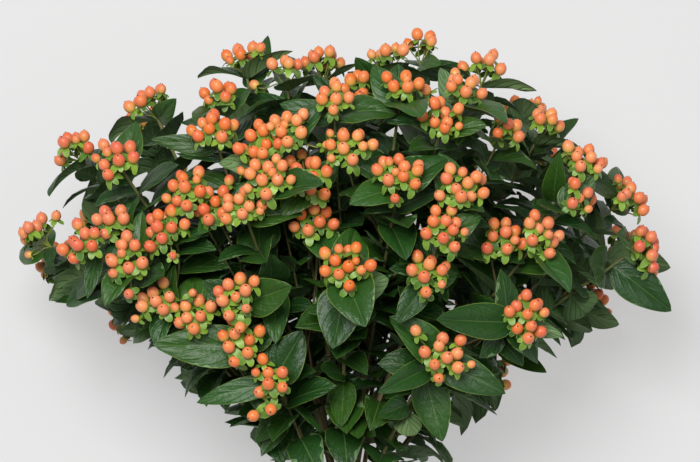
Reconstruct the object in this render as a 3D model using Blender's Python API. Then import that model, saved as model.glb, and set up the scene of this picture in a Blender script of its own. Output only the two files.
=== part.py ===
"""A cut bunch of hypericum: leafy berry stems, held by one rubber band, lying on its side.

Every stem is one closed solid. Its wood is a square tube, and side twigs, leaves and berries grow
out of open quads of that tube, so that they all share one skin.
The bunch is laid out upright in millimetres (X to its left and right, Y from the cut ends to the
berries, Z towards the side that is seen) and is then laid down on three low points.
"""

import math
import random

import bmesh
import bpy
import numpy as np
from mathutils.bvhtree import BVHTree

# Sizes of the bunch, in millimetres
HEAD_MID_Y = 290.0  # height of the middle of the head above the band
HEAD_HALF = (300.0, 200.0, 160.0)  # half sizes of the head's egg shape
CUT_Y = -132.0  # cut ends, below the band
SLOT_STEP = 4.85  # spacing of the stems inside the band
CUT_SPREAD = 1.22  # the cut ends stand this much wider than the stems in the band
STEM_RADIUS = (2.5, 1.35)  # at the cut end and at the tip
TWIG_RADIUS = (1.35, 1.1)
NODE_HALF = 1.2  # half the length of a stem that a pair of leaves grows from
BERRY_RADIUS = 5.35
BERRY_LONG = 1.12  # half the length of a berry for each unit of its radius
PEDICEL_RADIUS = 0.75
CLUSTER_RISE = 21.0  # from the leaf pair under a cluster to the middle of its berries
CLUSTER_RADIUS = 20.5
LEAF_THICKNESS = 0.8
LEAF_STEP = 40.0  # between two pairs of leaves on a stem
LEAF_LOWEST_Y = 96.0  # stems are stripped of leaves below this
LEAFY_FROM = (0.58, 0.82)  # share of the way out, on the seen and on the lain-on side, of leaves
CLEARANCE = 0.45
STEEPEST = 0.78  # the least angle between a stem and a leaf, where the leaf starts
LIE_DEG = 16.4  # the side that is lain on is pressed to a plane at this angle
LIE_FLOOR = -56.0
TWIGS_A_STEM = 2
BACK_CLUSTERS = 32
SEED = 22

# How the bunch lies: tipped back on its head, rolled, and set on the surface
TIP_DEG = 17.5542
ROLL_DEG = -0.9085
SHIFT = (-0.001129, -0.169021, 0.056361)

# Berry clusters on the seen side: across, up from the band, berries, share of the full depth
SEEN = (
    (-89, 465, 5, 0.2), (-52, 454, 4, 0.6), (-20, 461, 8, -0.2), (-9, 425, 6, 1),
    (8, 437, 5, 0.5), (37, 466, 6, 0.3), (48, 437, 6, 1), (69, 477, 5, -0.4),
    (102, 435, 7, 0.9), (124, 458, 6, 0.1), (-106, 430, 7, 0.6), (83, 410, 10, 1), (-171, 428, 9, 0.2),
    (-239, 386, 9, 0.0), (-197, 376, 10, 1), (-210, 348, 8, 1), (-194, 329, 7, 0.8),
    (-274, 308, 8, 0.1), (-223, 304, 9, 1), (-187, 290, 9, 1), (-135, 350, 10, 1),
    (-150, 318, 10, 1), (-112, 398, 9, 1), (-87, 400, 10, 1), (-47, 400, 9, 1),
    (-72, 363, 11, 1), (-86, 334, 9, 1), (-112, 334, 8, 0.9), (-30, 358, 9, 0.9),
    (3, 385, 11, 1), (-26, 322, 8, 0.8), (46, 361, 12, 1), (98, 351, 10, 1),
    (83, 315, 10, 1), (0, 284, 11, 1.04), (-91, 261, 9, 1), (-87, 221, 9, 1),
    (-65, 190, 7, 1), (-129, 242, 8, 0.9), (-158, 256, 7, 0.9), (83, 209, 9, 1),
    (72, 278, 9, 0.95), (154, 242, 11, 1), (135, 306, 9, 0.7), (168, 308, 8, 0.8),
    (206, 374, 11, 0.7), (174, 406, 5, 0.2), (246, 344, 9, 0.3), (261, 299, 9, 0.2),
    (135, 400, 6, 0.8), (197, 343, 6, 0.8),
)

# Leaves that the photo shows, in its own pixels: where a leaf starts, where it ends, how wide it is,
# and 1 where its upper side is seen, -1 where its pale lower side is
LEAVES_SEEN = (
    (261, 80, 268, 33, 30, 1), (311, 72, 316, 39, 24, -1), (352, 88, 357, 48, 31, 1),
    (402, 100, 399, 46, 38, 1), (430, 82, 426, 42, 24, -1), (440, 74, 473, 68, 22, 1),
    (480, 66, 517, 44, 22, 1), (288, 110, 238, 96, 24, 1), (264, 132, 271, 100, 30, 1),
    (324, 136, 312, 95, 30, 1), (356, 140, 352, 104, 35, 1), (349, 96, 312, 76, 22, 1),
    (452, 186, 434, 137, 38, 1), (524, 134, 516, 92, 24, -1), (507, 180, 518, 132, 44, -1),
    (543, 194, 556, 134, 24, 1), (557, 152, 579, 113, 24, 1), (576, 168, 618, 149, 32, 1),
    (622, 226, 656, 200, 30, 1), (588, 216, 608, 182, 32, -1), (578, 215, 524, 200, 30, 1),
    (612, 286, 562, 246, 42, 1), (614, 286, 678, 317, 40, 1), (576, 306, 600, 336, 40, -1),
    (592, 300, 546, 285, 28, 1), (544, 324, 583, 341, 20, -1), (552, 340, 592, 353, 24, 1),
    (468, 302, 506, 288, 36, 1), (514, 300, 544, 279, 24, -1), (484, 344, 405, 314, 36, 1),
    (352, 284, 334, 341, 46, 1), (352, 250, 338, 202, 36, 1), (398, 268, 388, 220, 32, 1),
    (372, 292, 406, 271, 34, -1), (364, 322, 392, 304, 26, 1), (424, 309, 459, 253, 20, 1),
    (262, 292, 272, 238, 36, 1), (267, 306, 313, 277, 38, 1), (250, 304, 280, 362, 30, 1),
    (174, 120, 198, 80, 24, 1), (190, 140, 126, 138, 20, 1), (192, 176, 152, 152, 30, 1),
    (112, 160, 82, 132, 24, 1), (58, 210, 64, 262, 16, 1), (44, 256, 52, 297, 15, 1),
    (88, 268, 95, 300, 17, 1), (226, 350, 138, 340, 42, 1), (156, 308, 122, 314, 24, 1),
    (262, 394, 188, 401, 24, 1), (264, 398, 326, 444, 34, 1), (292, 424, 322, 470, 42, 1),
    (264, 404, 224, 418, 26, 1), (273, 414, 249, 447, 24, 1), (328, 382, 341, 432, 26, 1),
    (396, 396, 361, 417, 24, 1), (440, 362, 378, 386, 26, 1), (432, 382, 442, 444, 36, 1),
    (376, 468, 430, 448, 34, 1), (388, 404, 411, 432, 28, -1), (362, 420, 384, 442, 26, 1),
    (452, 364, 516, 396, 34, 1), (500, 344, 566, 383, 22, 1), (252, 172, 203, 160, 28, -1),
    (234, 328, 204, 352, 34, -1), (214, 280, 180, 258, 28, 1), (300, 250, 262, 214, 28, 1),
    (470, 238, 498, 200, 30, 1), (412, 330, 372, 352, 26, 1), (330, 372, 296, 352, 26, 1),
    (462, 420, 494, 446, 28, 1), (300, 346, 266, 330, 26, 1), (236, 250, 212, 222, 26, 1),
)
# The lower edge of the head, from its left to its right: across, up from the band
LOWER_EDGE = (
    (-290, 280), (-256, 250), (-217, 247), (-181, 213), (-152, 188), (-135, 160), (-98, 145), (-65, 111),
    (-45, 60), (70, 60), (109, 111), (132, 150), (192, 172), (220, 215), (257, 232), (290, 232),
)
EDGE_SLACK = 3.0  # how far a leaf may hang past that edge
PHOTO_MIDDLE = (345.0, 590.0)  # the pixels of the middle of the band
PHOTO_SCALE = 1.15  # pixels for each millimetre

COLOURS = {
    "bark": ((0.20, 0.17, 0.08, 1.0), 0.75),
    "leaf": ((0.035, 0.10, 0.035, 1.0), 0.42),
    "berry": ((0.78, 0.21, 0.085, 1.0), 0.32),
    "rubber": ((0.56, 0.36, 0.18, 1.0), 0.6),
}


# Small vector help
def vec(*values):
    return np.array(values, dtype=float)


def unit(v):
    return v / max(np.linalg.norm(v), 1e-9)


def across(direction):
    """Two unit vectors at right angles to a direction and to each other."""
    helper = vec(0, 0, 1) if abs(direction[2]) < 0.8 else vec(1, 0, 0)
    side = unit(np.cross(direction, helper))
    return side, np.cross(side, direction)


def bezier(p0, p1, p2, p3, count):
    t = np.linspace(0.0, 1.0, count)[:, None]
    s = 1.0 - t
    return s**3 * p0 + 3 * s * s * t * p1 + 3 * s * t * t * p2 + t**3 * p3


# Closed shapes that stand in for pieces while the bunch is laid out, as (points, triangles)
def tube(path, radii, sides=4):
    """A closed tube with flat ends along a path."""
    path = np.asarray(path)
    ahead = [unit(path[min(i + 1, len(path) - 1)] - path[max(i - 1, 0)]) for i in range(len(path))]
    side, _ = across(ahead[0])
    points = []
    for centre, direction, radius in zip(path, ahead, radii):
        side = unit(side - direction * np.dot(side, direction))
        other = np.cross(direction, side)
        for k in range(sides):
            a = 2 * math.pi * k / sides
            points.append(centre + radius * (math.cos(a) * side + math.sin(a) * other))
    faces = [(0, k + 1, k) for k in range(1, sides - 1)]
    for i in range(len(path) - 1):
        low = i * sides
        for k in range(sides):
            a, b = low + k, low + (k + 1) % sides
            faces += [(a, b, b + sides), (a, b + sides, a + sides)]
    top = (len(path) - 1) * sides
    faces += [(top, top + k, top + k + 1) for k in range(1, sides - 1)]
    return np.array(points), faces


BERRY_RINGS = ((-0.44, 1.04), (0.46, 0.98))  # share of the half length, share of the radius


def berry_shape(root, middle, radius, grow=0.0):
    """A berry with its pedicel, as a spindle."""
    axis = unit(middle - root)
    half = radius * BERRY_LONG
    path = [root, middle - axis * 0.97 * half]
    radii = [PEDICEL_RADIUS + grow, PEDICEL_RADIUS + grow]
    for along, share in BERRY_RINGS:
        path.append(middle + axis * along * half)
        radii.append(share * radius + grow)
    path.append(middle + axis * (half + grow))
    radii.append(0.3)
    return tube(path, radii, 5)


def half_width(t):
    """The outline of a leaf: rounded at the stem, widest at a third, pointed at the tip."""
    return math.sin(math.pi * t**0.62) ** 0.85 if 0.0 < t < 1.0 else 0.0


def leaf_frame(leaf, t):
    """The point on the midrib at a share of the length, with the side and upward directions."""
    bend = leaf["bend"] if abs(leaf["bend"]) > 1e-4 else 1e-4
    a = bend * t
    d, n = leaf["d"], leaf["n"]
    centre = leaf["base"] + leaf["length"] / bend * (math.sin(a) * d - (1 - math.cos(a)) * n)
    up = math.sin(a) * d + math.cos(a) * n
    side = np.cross(n, d)
    twist = leaf["twist"] * t
    return (
        centre,
        math.cos(twist) * side + math.sin(twist) * up,
        math.cos(twist) * up - math.sin(twist) * side,
    )


def leaf_point(leaf, t, s, widen=1.0):
    """A point of the blade: t runs along it, s from -1 to 1 across it."""
    centre, side, up = leaf_frame(leaf, t)
    w = abs(s) * half_width(t) * 0.5 * leaf["width"] * widen
    fold = leaf["fold"]
    return centre + w * (math.copysign(math.cos(fold), s) * side + math.sin(fold) * up)


LEAF_RING = ((0.20, -1, 1.04), (0.62, -1, 1.06), (1, 0, 1), (0.62, 1, 1.06), (0.20, 1, 1.04))
BIG_TOP = (
    (0, 1, 7), (0, 7, 6), (6, 7, 5), (1, 2, 8), (1, 8, 7), (5, 7, 8), (5, 8, 4), (2, 3, 8), (4, 8, 3),
)
SMALL_TOP = ((0, 1, 7), (1, 2, 7), (2, 3, 7), (3, 4, 7), (4, 5, 7), (5, 6, 7), (6, 0, 7))


def leaf_sheets(leaf, thickness):
    """The upper and lower points of a blade: five round it, then one or two on its midrib."""
    spots = LEAF_RING + (((0.20, 0, 1), (0.62, 0, 1)) if leaf["big"] else ((0.45, 0, 1),))
    upper, lower = [], []
    for t, s, k in spots:
        point = leaf_point(leaf, t, s, k)
        up = leaf_frame(leaf, t)[2]
        upper.append(point + up * thickness / 2)
        lower.append(point - up * thickness / 2)
    return upper, lower


def leaf_faces(leaf, upper, lower):
    """Triangles over both sheets and the rim, given the nine or eight indices of each sheet."""
    top = BIG_TOP if leaf["big"] else SMALL_TOP
    faces = [(upper[a], upper[b], upper[c]) for a, b, c in top]
    faces += [(lower[a], lower[c], lower[b]) for a, b, c in top]
    for k in range(6):
        a, b, c, d = lower[k], lower[k + 1], upper[k + 1], upper[k]
        faces += [(a, b, c), (a, c, d)]
    return faces


def leaf_shape(leaf, thickness, start):
    """A blade on its own from a share of its length on, to test for room."""
    upper, lower = leaf_sheets(leaf, thickness)
    edge = []
    centre, side, up = leaf_frame(leaf, start)
    half = 1.0 + 2.3 * start * leaf["width"]
    for s in (-1, 1):
        point = centre + side * s * half
        edge.append((point + up * thickness / 2, point - up * thickness / 2))
    over = [edge[0][0]] + upper[:5] + [edge[1][0]] + upper[5:]
    under = [edge[0][1]] + lower[:5] + [edge[1][1]] + lower[5:]
    count = len(over)
    faces = leaf_faces(leaf, list(range(count)), list(range(count, 2 * count)))
    faces += [(6, 0, count), (6, count, count + 6)]
    return np.array(over + under), faces


# Keeping pieces clear of one another
class Item:
    """A placed shape, with what is needed to test others against it."""

    def __init__(self, kind, owner, group, shape):
        self.kind, self.owner, self.group = kind, owner, group
        self.points, self.faces = shape
        self.low = self.points.min(axis=0)
        self.high = self.points.max(axis=0)
        self._tree = None

    @property
    def tree(self):
        if self._tree is None:
            self._tree = BVHTree.FromPolygons([tuple(p) for p in self.points], self.faces)
        return self._tree


class Room:
    """All that has been placed so far."""

    def __init__(self):
        self.items = []
        self.low = np.zeros((0, 3))
        self.high = np.zeros((0, 3))

    def add(self, items):
        self.items += items
        self.low = np.vstack([self.low] + [i.low for i in items])
        self.high = np.vstack([self.high] + [i.high for i in items])

    def hits(self, shape, counts):
        """How many of the placed items that counts() names a shape crosses."""
        if not self.items:
            return 0
        probe = Item("probe", -1, -1, shape)
        near = np.all((self.low <= probe.high) & (self.high >= probe.low), axis=1)
        found = 0
        for index in np.nonzero(near)[0]:
            item = self.items[index]
            if counts(item) and probe.tree.overlap(item.tree):
                found += 1
        return found


class Path:
    """A smooth line with its length so far and a side direction carried along it."""

    def __init__(self, points):
        self.points = np.asarray(points)
        steps = np.diff(self.points, axis=0)
        lengths = np.linalg.norm(steps, axis=1)
        self.along = np.concatenate([[0.0], np.cumsum(lengths)])
        self.length = self.along[-1]
        ahead = steps / lengths[:, None]
        self.ahead = np.vstack([ahead[:1], ahead[:-1] + ahead[1:], ahead[-1:]])
        side, _ = across(self.ahead[0])
        self.side = []
        for direction in self.ahead:
            direction = unit(direction)
            side = unit(side - direction * np.dot(side, direction))
            self.side.append(side)
        self.side = np.array(self.side)

    def at(self, s):
        """Centre, direction ahead and carried side direction at a length."""
        s = min(max(s, 0.0), self.length)
        low = min(int(np.searchsorted(self.along, s, side="right")) - 1, len(self.points) - 2)
        part = (s - self.along[low]) / (self.along[low + 1] - self.along[low])
        centre = self.points[low] * (1 - part) + self.points[low + 1] * part
        ahead = unit(self.ahead[low] * (1 - part) + self.ahead[low + 1] * part)
        side = self.side[low] * (1 - part) + self.side[low + 1] * part
        return centre, ahead, unit(side - ahead * np.dot(side, ahead))


# The layout of the bunch
def head_depth(x, y):
    left = 1.0 - (x / HEAD_HALF[0]) ** 2 - ((y - HEAD_MID_Y) / HEAD_HALF[1]) ** 2
    return HEAD_HALF[2] * math.sqrt(max(left, 0.0))


def edge_height(x):
    """How high the lower edge of the head is at a place across it."""
    across_mm, up_mm = zip(*LOWER_EDGE)
    return np.interp(x, across_mm, up_mm)


def cluster_axis(middle):
    """The way a cluster faces: partly away from the band, partly straight out of the head."""
    out = unit(
        vec(
            middle[0] / HEAD_HALF[0] ** 2,
            (middle[1] - HEAD_MID_Y) / HEAD_HALF[1] ** 2,
            middle[2] / HEAD_HALF[2] ** 2,
        )
    )
    return unit(0.62 * unit(middle + vec(0, 40, 0)) + 0.72 * out)


def cluster_list(rng):
    """The middle and the berry count of each cluster: those seen, then the far side by rule."""
    found = []
    for x, y, berries, share in SEEN:
        depth = head_depth(x, y) * share
        found.append((vec(x, y, depth - 8 + rng.uniform(-7, 5)), berries))
    for k in range(BACK_CLUSTERS):
        turn = k * 2.399963 + 0.4
        reach = math.sqrt((k + 0.6) / BACK_CLUSTERS)
        x = HEAD_HALF[0] * 0.90 * reach * math.cos(turn)
        y = HEAD_MID_Y + 12 + HEAD_HALF[1] * 0.80 * reach * math.sin(turn)
        y = max(y, edge_height(x) + 34)
        depth = -head_depth(x, y) * rng.uniform(0.86, 1.0) + 8
        lie = math.radians(LIE_DEG)
        lowest = (LIE_FLOOR + 13 - y * math.sin(lie)) / math.cos(lie)
        found.append((vec(x, y, max(depth, lowest)), rng.choice((7, 8, 9, 10))))
    return found


def above_surface(points):
    """Whether all points are above the plane that the bunch is pressed to."""
    lie = math.radians(LIE_DEG)
    return np.min(points[:, 2] * math.cos(lie) + points[:, 1] * math.sin(lie)) > LIE_FLOOR


def stem_groups(clusters):
    """Shares the clusters out: the farthest free one ends a stem, near lower ones are its twigs."""
    order = sorted(range(len(clusters)), key=lambda i: -np.linalg.norm(clusters[i][0]))
    free = set(order)
    groups = []
    for tip in order:
        if tip not in free:
            continue
        free.discard(tip)
        near = []
        for other in free:
            gap = np.linalg.norm(clusters[other][0] - clusters[tip][0])
            lean = np.dot(unit(clusters[other][0]), unit(clusters[tip][0]))
            if gap < 92 and lean > 0.93:
                near.append((gap, other))
        chosen = [other for _, other in sorted(near)[:TWIGS_A_STEM]]
        free -= set(chosen)
        groups.append([tip] + chosen)
    return groups


def slot_list(tips):
    """A place in the band for each stem, so that neighbours there are neighbours above."""
    cells = []
    for row in range(-6, 7):
        for column in range(-6, 7):
            cells.append(vec((column + 0.5 * (row % 2)) * SLOT_STEP, row * SLOT_STEP * 0.8660254))
    middle = vec(0.3, 0.2)
    cells = sorted(cells, key=lambda c: np.linalg.norm(c - middle))[: len(tips)]
    aims = [vec(t[0], t[2] * 1.35) / (t[1] + 60.0) for t in tips]
    scale = 15.0 / max(np.linalg.norm(a) for a in aims)
    aims = [a * scale for a in aims]
    slots = list(range(len(tips)))

    def cost(stem, slot):
        return np.sum((cells[slot] - aims[stem]) ** 2)

    for _ in range(40):
        changed = False
        for i in range(len(tips)):
            for j in range(i):
                now = cost(i, slots[i]) + cost(j, slots[j])
                if cost(i, slots[j]) + cost(j, slots[i]) < now - 1e-9:
                    slots[i], slots[j] = slots[j], slots[i]
                    changed = True
        if not changed:
            break
    return [vec(cells[s][0], 0.0, cells[s][1]) for s in slots]


def path_gap(one, two):
    """The least distance between two paths, each taken at fine steps."""
    fine = []
    for path in (one, two):
        t = np.linspace(0, len(path) - 1, 5 * len(path))
        low = np.minimum(t.astype(int), len(path) - 2)
        part = (t - low)[:, None]
        fine.append(path[low] * (1 - part) + path[low + 1] * part)
    return np.min(np.linalg.norm(fine[0][:, None, :] - fine[1][None, :, :], axis=2))


def stem_path(slot, tip, axis, rng, spread):
    reach = np.linalg.norm(tip - slot)
    wander = vec(rng.uniform(-1, 1), rng.uniform(-0.5, 0.5), rng.uniform(-1, 1)) * spread
    out = unit(0.8 * axis + 0.45 * unit(tip))
    p1 = slot * 1.5 + vec(0, 0.40 * reach, 0) + wander
    p2 = tip - out * 0.34 * reach + wander * 0.6
    cut = slot * CUT_SPREAD + vec(0, CUT_Y + rng.uniform(-7, 7), 0)
    return Path(np.vstack([cut, (cut + slot) / 2, bezier(slot, p1, p2, tip, 22)]))


def berries_of(node, axis, count, rng):
    """The middles and sizes of the berries of one cluster, kept clear of one another."""
    side, other = across(axis)
    phase = rng.uniform(0, 6.28)
    spots, radii = [], []
    spread = CLUSTER_RADIUS * math.sqrt(count / 9.5)
    for i in range(count):
        reach = spread * math.sqrt((i + 0.35) / count)
        turn = phase + i * 2.399963
        rise = CLUSTER_RISE + 4 - 8 * (reach / CLUSTER_RADIUS) ** 2 + rng.uniform(-5, 5)
        spots.append(node + axis * rise + reach * (math.cos(turn) * side + math.sin(turn) * other))
        size = rng.uniform(0.93, 1.08) if rng.random() < 0.85 else rng.uniform(0.68, 0.85)
        radii.append(BERRY_RADIUS * size)
    for _ in range(12):
        for i in range(count):
            for j in range(i):
                away = spots[i] - spots[j]
                need = (radii[i] + radii[j]) * 1.08 + 0.4
                gap = np.linalg.norm(away)
                if gap < need:
                    push = away / max(gap, 1e-6) * (need - gap) / 2
                    spots[i] = spots[i] + push
                    spots[j] = spots[j] - push
    return spots, radii


def kept_berries(spots, node, axis):
    """The berries that the faceted solid keeps: the middle one, the outermost and, in a full cluster,
    the one across from that."""
    flat = [p - node - axis * np.dot(p - node, axis) for p in spots]
    order = sorted(range(len(spots)), key=lambda i: np.linalg.norm(flat[i]))
    middle, outer = order[0], order[-1]
    rest = [i for i in order if i not in (middle, outer)]
    facing = min(rest, key=lambda i: np.dot(flat[i], unit(flat[outer])))
    if len(spots) < 9:
        facing = None
    return middle, outer, facing, unit(flat[outer])


def crosses_own(room, leaf, stem, group):
    """Whether a leaf crosses its own stem's wood, berries or leaves of another pair."""
    near = leaf_shape(leaf, LEAF_THICKNESS + 0.2, 0.0)
    if room.hits(near, lambda item: item.owner == stem and item.kind == "berry"):
        return True
    far = leaf_shape(leaf, LEAF_THICKNESS + CLEARANCE, 0.08)
    return room.hits(
        far, lambda item: item.owner == stem and item.kind != "berry" and item.group != group
    ) > 0


def place_leaf(room, stem, group, node, axis, out, rng, length, big, tries=16):
    """Tries a leaf this way and that until it is clear of all else, and shorter if need be."""
    spread = rng.uniform(0.75, 1.25)
    slim = rng.uniform(0.62, 0.78)
    bend = rng.uniform(0.15, 0.95)
    fold = rng.uniform(0.12, 0.5)
    twist = rng.uniform(-0.35, 0.35)
    other = np.cross(axis, out)

    def strange(item):
        return item.owner != stem or (item.kind == "berry" and item.group != group)

    for attempt in range(tries):
        shrink = 1.0 - 0.028 * attempt
        loose = 0.0 if attempt == 0 else 1.0
        turn = loose * rng.uniform(-0.5, 0.5)
        open_out = max(spread + loose * rng.uniform(-0.45, 0.45), STEEPEST)
        towards = math.cos(turn) * out + math.sin(turn) * other
        d = unit(math.cos(open_out) * axis + math.sin(open_out) * towards)
        leaf = {
            "base": node + towards * 1.2,
            "d": d,
            "n": unit(axis - d * np.dot(axis, d)),
            "length": length * shrink,
            "width": length * shrink * slim,
            "bend": bend + loose * rng.uniform(-0.5, 0.5),
            "fold": fold,
            "twist": twist + loose * rng.uniform(-0.4, 0.4),
            "big": big,
        }
        probe = leaf_shape(leaf, LEAF_THICKNESS + 2 * CLEARANCE, 0.02)
        if np.min(probe[0][:, 1] - edge_height(probe[0][:, 0])) < -EDGE_SLACK:
            continue
        if not above_surface(probe[0]) or room.hits(probe, strange):
            continue
        if crosses_own(room, leaf, stem, (group, "leaf")):
            continue
        room.add([Item("leaf", stem, (group, "leaf"), leaf_shape(leaf, LEAF_THICKNESS, 0.02))])
        return leaf
    return None


def leaf_to(base, tip, facing, wide, bend, fold, roll):
    """A leaf between two points that turns its upper side to a given direction."""
    chord = unit(tip - base)
    up = unit(facing - chord * np.dot(facing, chord))
    up = math.cos(roll) * up + math.sin(roll) * np.cross(chord, up)
    half = bend / 2
    stretch = half / math.sin(half) if abs(half) > 1e-3 else 1.0
    return {
        "base": base,
        "d": math.cos(half) * chord + math.sin(half) * up,
        "n": math.cos(half) * up - math.sin(half) * chord,
        "length": np.linalg.norm(tip - base) * stretch,
        "width": wide,
        "bend": bend,
        "fold": fold,
        "twist": 0.0,
        "big": True,
    }


def starts_for(stems, base, tip):
    """Where a seen leaf could grow from, nearest first: a pair under a cluster, or along a stem."""
    found = []
    for index, stem in enumerate(stems):
        for cluster in stem["clusters"]:
            spot = cluster["node"] - cluster["axis"] * NODE_HALF
            out = np.cross(cluster["axis"], cluster["towards"])
            for half in range(2):
                lean = np.dot(unit(tip - spot), out * (1 - 2 * half))
                if cluster["leaves"][half] is None and lean > 0.3:
                    far = np.linalg.norm((spot - base)[:2]) + 0.30 * abs(spot[2] - base[2])
                    found.append((far - 3, index, ("tip", cluster, half), spot, out * (1 - 2 * half)))
        path = stem["path"]
        for s in np.arange(0.35 * path.length, path.length - 9, 4.0):
            if any(abs(s - n["s"]) < 8 for n in stem["nodes"]):
                continue
            spot, ahead, _ = path.at(s)
            out = unit(tip - spot)
            out = out - ahead * np.dot(out, ahead)
            if np.linalg.norm(out) > 0.35:
                far = np.linalg.norm((spot - base)[:2]) + 0.30 * abs(spot[2] - base[2])
                found.append((far, index, ("stem", s), spot, unit(out)))
    found.sort(key=lambda f: f[0])
    return found


def place_seen_leaves(room, stems, rng):
    """The leaves that the photo shows, each on the nearest stem that leaves it clear."""
    view = vec(0, 0, 1)
    for x0, y0, x1, y1, wide, side in LEAVES_SEEN:
        spots = []
        for x, y in ((x0, y0), (x1, y1)):
            across_mm = (x - PHOTO_MIDDLE[0]) / PHOTO_SCALE
            up_mm = (PHOTO_MIDDLE[1] - y) / PHOTO_SCALE
            spots.append(vec(across_mm, up_mm, head_depth(across_mm, up_mm)))
        base, tip = spots
        base[2] -= 22
        length = max(np.linalg.norm((tip - base)[:2]), 40.0) * 1.04
        placed = False
        for far, index, where, spot, out in starts_for(stems, base, tip)[:36]:
            if far > 45 or placed:
                break
            start = spot + out * 1.2
            for attempt in range(9):
                loose = 0.35 * attempt
                aim = tip + vec(rng.uniform(-5, 5), rng.uniform(-5, 5), rng.uniform(-14, 10)) * loose
                aim = start + unit(aim - start) * length * (1 - 0.02 * attempt)
                facing = view * side + vec(rng.uniform(-0.4, 0.4), rng.uniform(-0.1, 0.5), 0) * (0.4 + loose)
                leaf = leaf_to(
                    start, aim, facing, wide / PHOTO_SCALE * 1.04 * (1 - 0.02 * attempt),
                    side * rng.uniform(-0.5, 0.8), rng.uniform(0.08, 0.35), 0.3 * loose * rng.uniform(-1, 1),
                )
                if np.dot(leaf["d"], out) < math.sin(STEEPEST):
                    continue
                group = ("seen", where[1]["id"]) if where[0] == "tip" else ("seen", round(where[1]))
                own_cluster = where[1]["id"] if where[0] == "tip" else None
                probe = leaf_shape(leaf, LEAF_THICKNESS + 2 * CLEARANCE, 0.02)
                if not above_surface(probe[0]):
                    continue
                if room.hits(probe, lambda item: item.owner != index or (
                        item.kind == "berry" and item.group != own_cluster)):
                    continue
                if crosses_own(room, leaf, index, group):
                    continue
                room.add([Item("leaf", index, group, leaf_shape(leaf, LEAF_THICKNESS, 0.02))])
                if where[0] == "tip":
                    where[1]["leaves"][where[2]] = leaf
                else:
                    stems[index]["nodes"].append(
                        {"s": float(where[1]), "out": out, "twig": None, "leaves": [leaf, None]}
                    )
                placed = True
                break


def stem_radius(s, length):
    return STEM_RADIUS[0] + (STEM_RADIUS[1] - STEM_RADIUS[0]) * (s / length) ** 1.3


def place_stems(room, groups, nodes, axes, rng):
    """The main stems, bent clear of one another."""
    slots = slot_list([nodes[g[0]] for g in groups])
    stems = []
    for index, group in enumerate(groups):
        best = None
        for attempt in range(40):
            path = stem_path(slots[index], nodes[group[0]], axes[group[0]], rng, 1.5 * attempt)
            gap = min([path_gap(path.points, s["path"].points) for s in stems], default=99.0)
            if best is None or gap > best[0]:
                best = (gap, path)
            if gap >= SLOT_STEP - 0.05:
                break
        path = best[1]
        radii = [stem_radius(s, path.length) for s in path.along]
        stems.append({"path": path, "clusters": [], "nodes": []})
        room.add([Item("stem", index, "stem", tube(path.points, [r + 0.5 for r in radii]))])
    return stems, slots


def place_clusters(room, groups, stems, clusters, nodes, axes, rng):
    """The berries, each cluster moved a little until it is clear."""
    for index, group in enumerate(groups):
        for order, cluster in enumerate(group):
            node, axis, count = nodes[cluster], axes[cluster], clusters[cluster][1]
            start = node
            for attempt in range(24):
                spots, radii = berries_of(node, axis, count, rng)
                clear = True
                for spot, radius in zip(spots, radii):
                    if room.hits(
                        berry_shape(node + (spot - node) * 0.25, spot, radius, CLEARANCE), lambda item: True
                    ):
                        clear = False
                        break
                if clear or (order == 0 and attempt > 12):
                    break
                if order > 0:
                    node = start + vec(*(rng.uniform(-1, 1) for _ in range(3))) * (3 + attempt)
            middle, outer, facing, towards = kept_berries(spots, node, axis)
            roots = [node] * len(spots)
            roots[outer] = node - axis * NODE_HALF + towards
            if facing is not None:
                roots[facing] = node - axis * NODE_HALF - towards
            room.add(
                [
                    Item("berry", index, cluster, berry_shape(*each))
                    for each in zip(roots, spots, radii)
                ]
            )
            stems[index]["clusters"].append(
                {
                    "id": cluster, "node": node, "axis": axis, "spots": spots, "radii": radii,
                    "kept": (middle, outer, facing), "towards": towards, "leaves": [None, None],
                    "path": None,
                }
            )


def twig_rings(length):
    """Where along a twig the solid has a ring, before those of its leaf pair."""
    first = min(7.0, 0.25 * length)
    return [first, 0.38 * length, 0.7 * length] if length > 85 else [first, 0.55 * length]


def place_twigs(room, stems, rng):
    """A twig from the main stem to each side cluster."""
    for index, stem in enumerate(stems):
        main = stem["path"]
        for cluster in list(stem["clusters"][1:]):
            node, axis = cluster["node"], cluster["axis"]
            best = None

            def others(item):
                return item.owner != index or item.kind == "twig" or (
                    item.kind == "berry" and item.group != cluster["id"]
                )

            for attempt in range(40):
                s = main.length * rng.uniform(0.50, 0.90)
                if any(abs(s - n["s"]) < 15 for n in stem["nodes"]):
                    continue
                start, ahead, side = main.at(s)
                reach = np.linalg.norm(node - start)
                away = node - start - ahead * np.dot(node - start, ahead)
                if np.dot(node - start, ahead) < 0.3 * reach or np.linalg.norm(away) < 9:
                    continue
                out = unit(away)
                bow = unit(0.6 * unit(node - start) + 0.45 * ahead + 0.35 * out)
                line = bezier(
                    start + out * 1.0, start + bow * reach * 0.35, node - axis * reach * 0.3, node, 10
                )
                far = line[2:]
                hits = room.hits(tube(line, [TWIG_RADIUS[0] + CLEARANCE] * len(line)), others)
                hits += room.hits(
                    tube(far, [TWIG_RADIUS[0] + 0.3] * len(far)), lambda item: item.owner == index
                    and item.kind == "stem"
                )
                if best is None or hits < best[0]:
                    best = (hits, line, s, out, start)
                if hits == 0:
                    break
            if best is None or best[0] > 0:
                stem["clusters"].remove(cluster)
                continue
            _, line, s, out, start = best
            cluster["path"] = Path(line)
            rings = [cluster["path"].at(s)[0] for s in twig_rings(cluster["path"].length)]
            rings = [start] + rings + [node]
            room.add([Item("twig", index, cluster["id"], tube(rings, [TWIG_RADIUS[0] + 0.3] * len(rings)))])
            stem["nodes"].append({"s": s, "out": out, "twig": cluster, "leaves": [None, None]})


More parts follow.
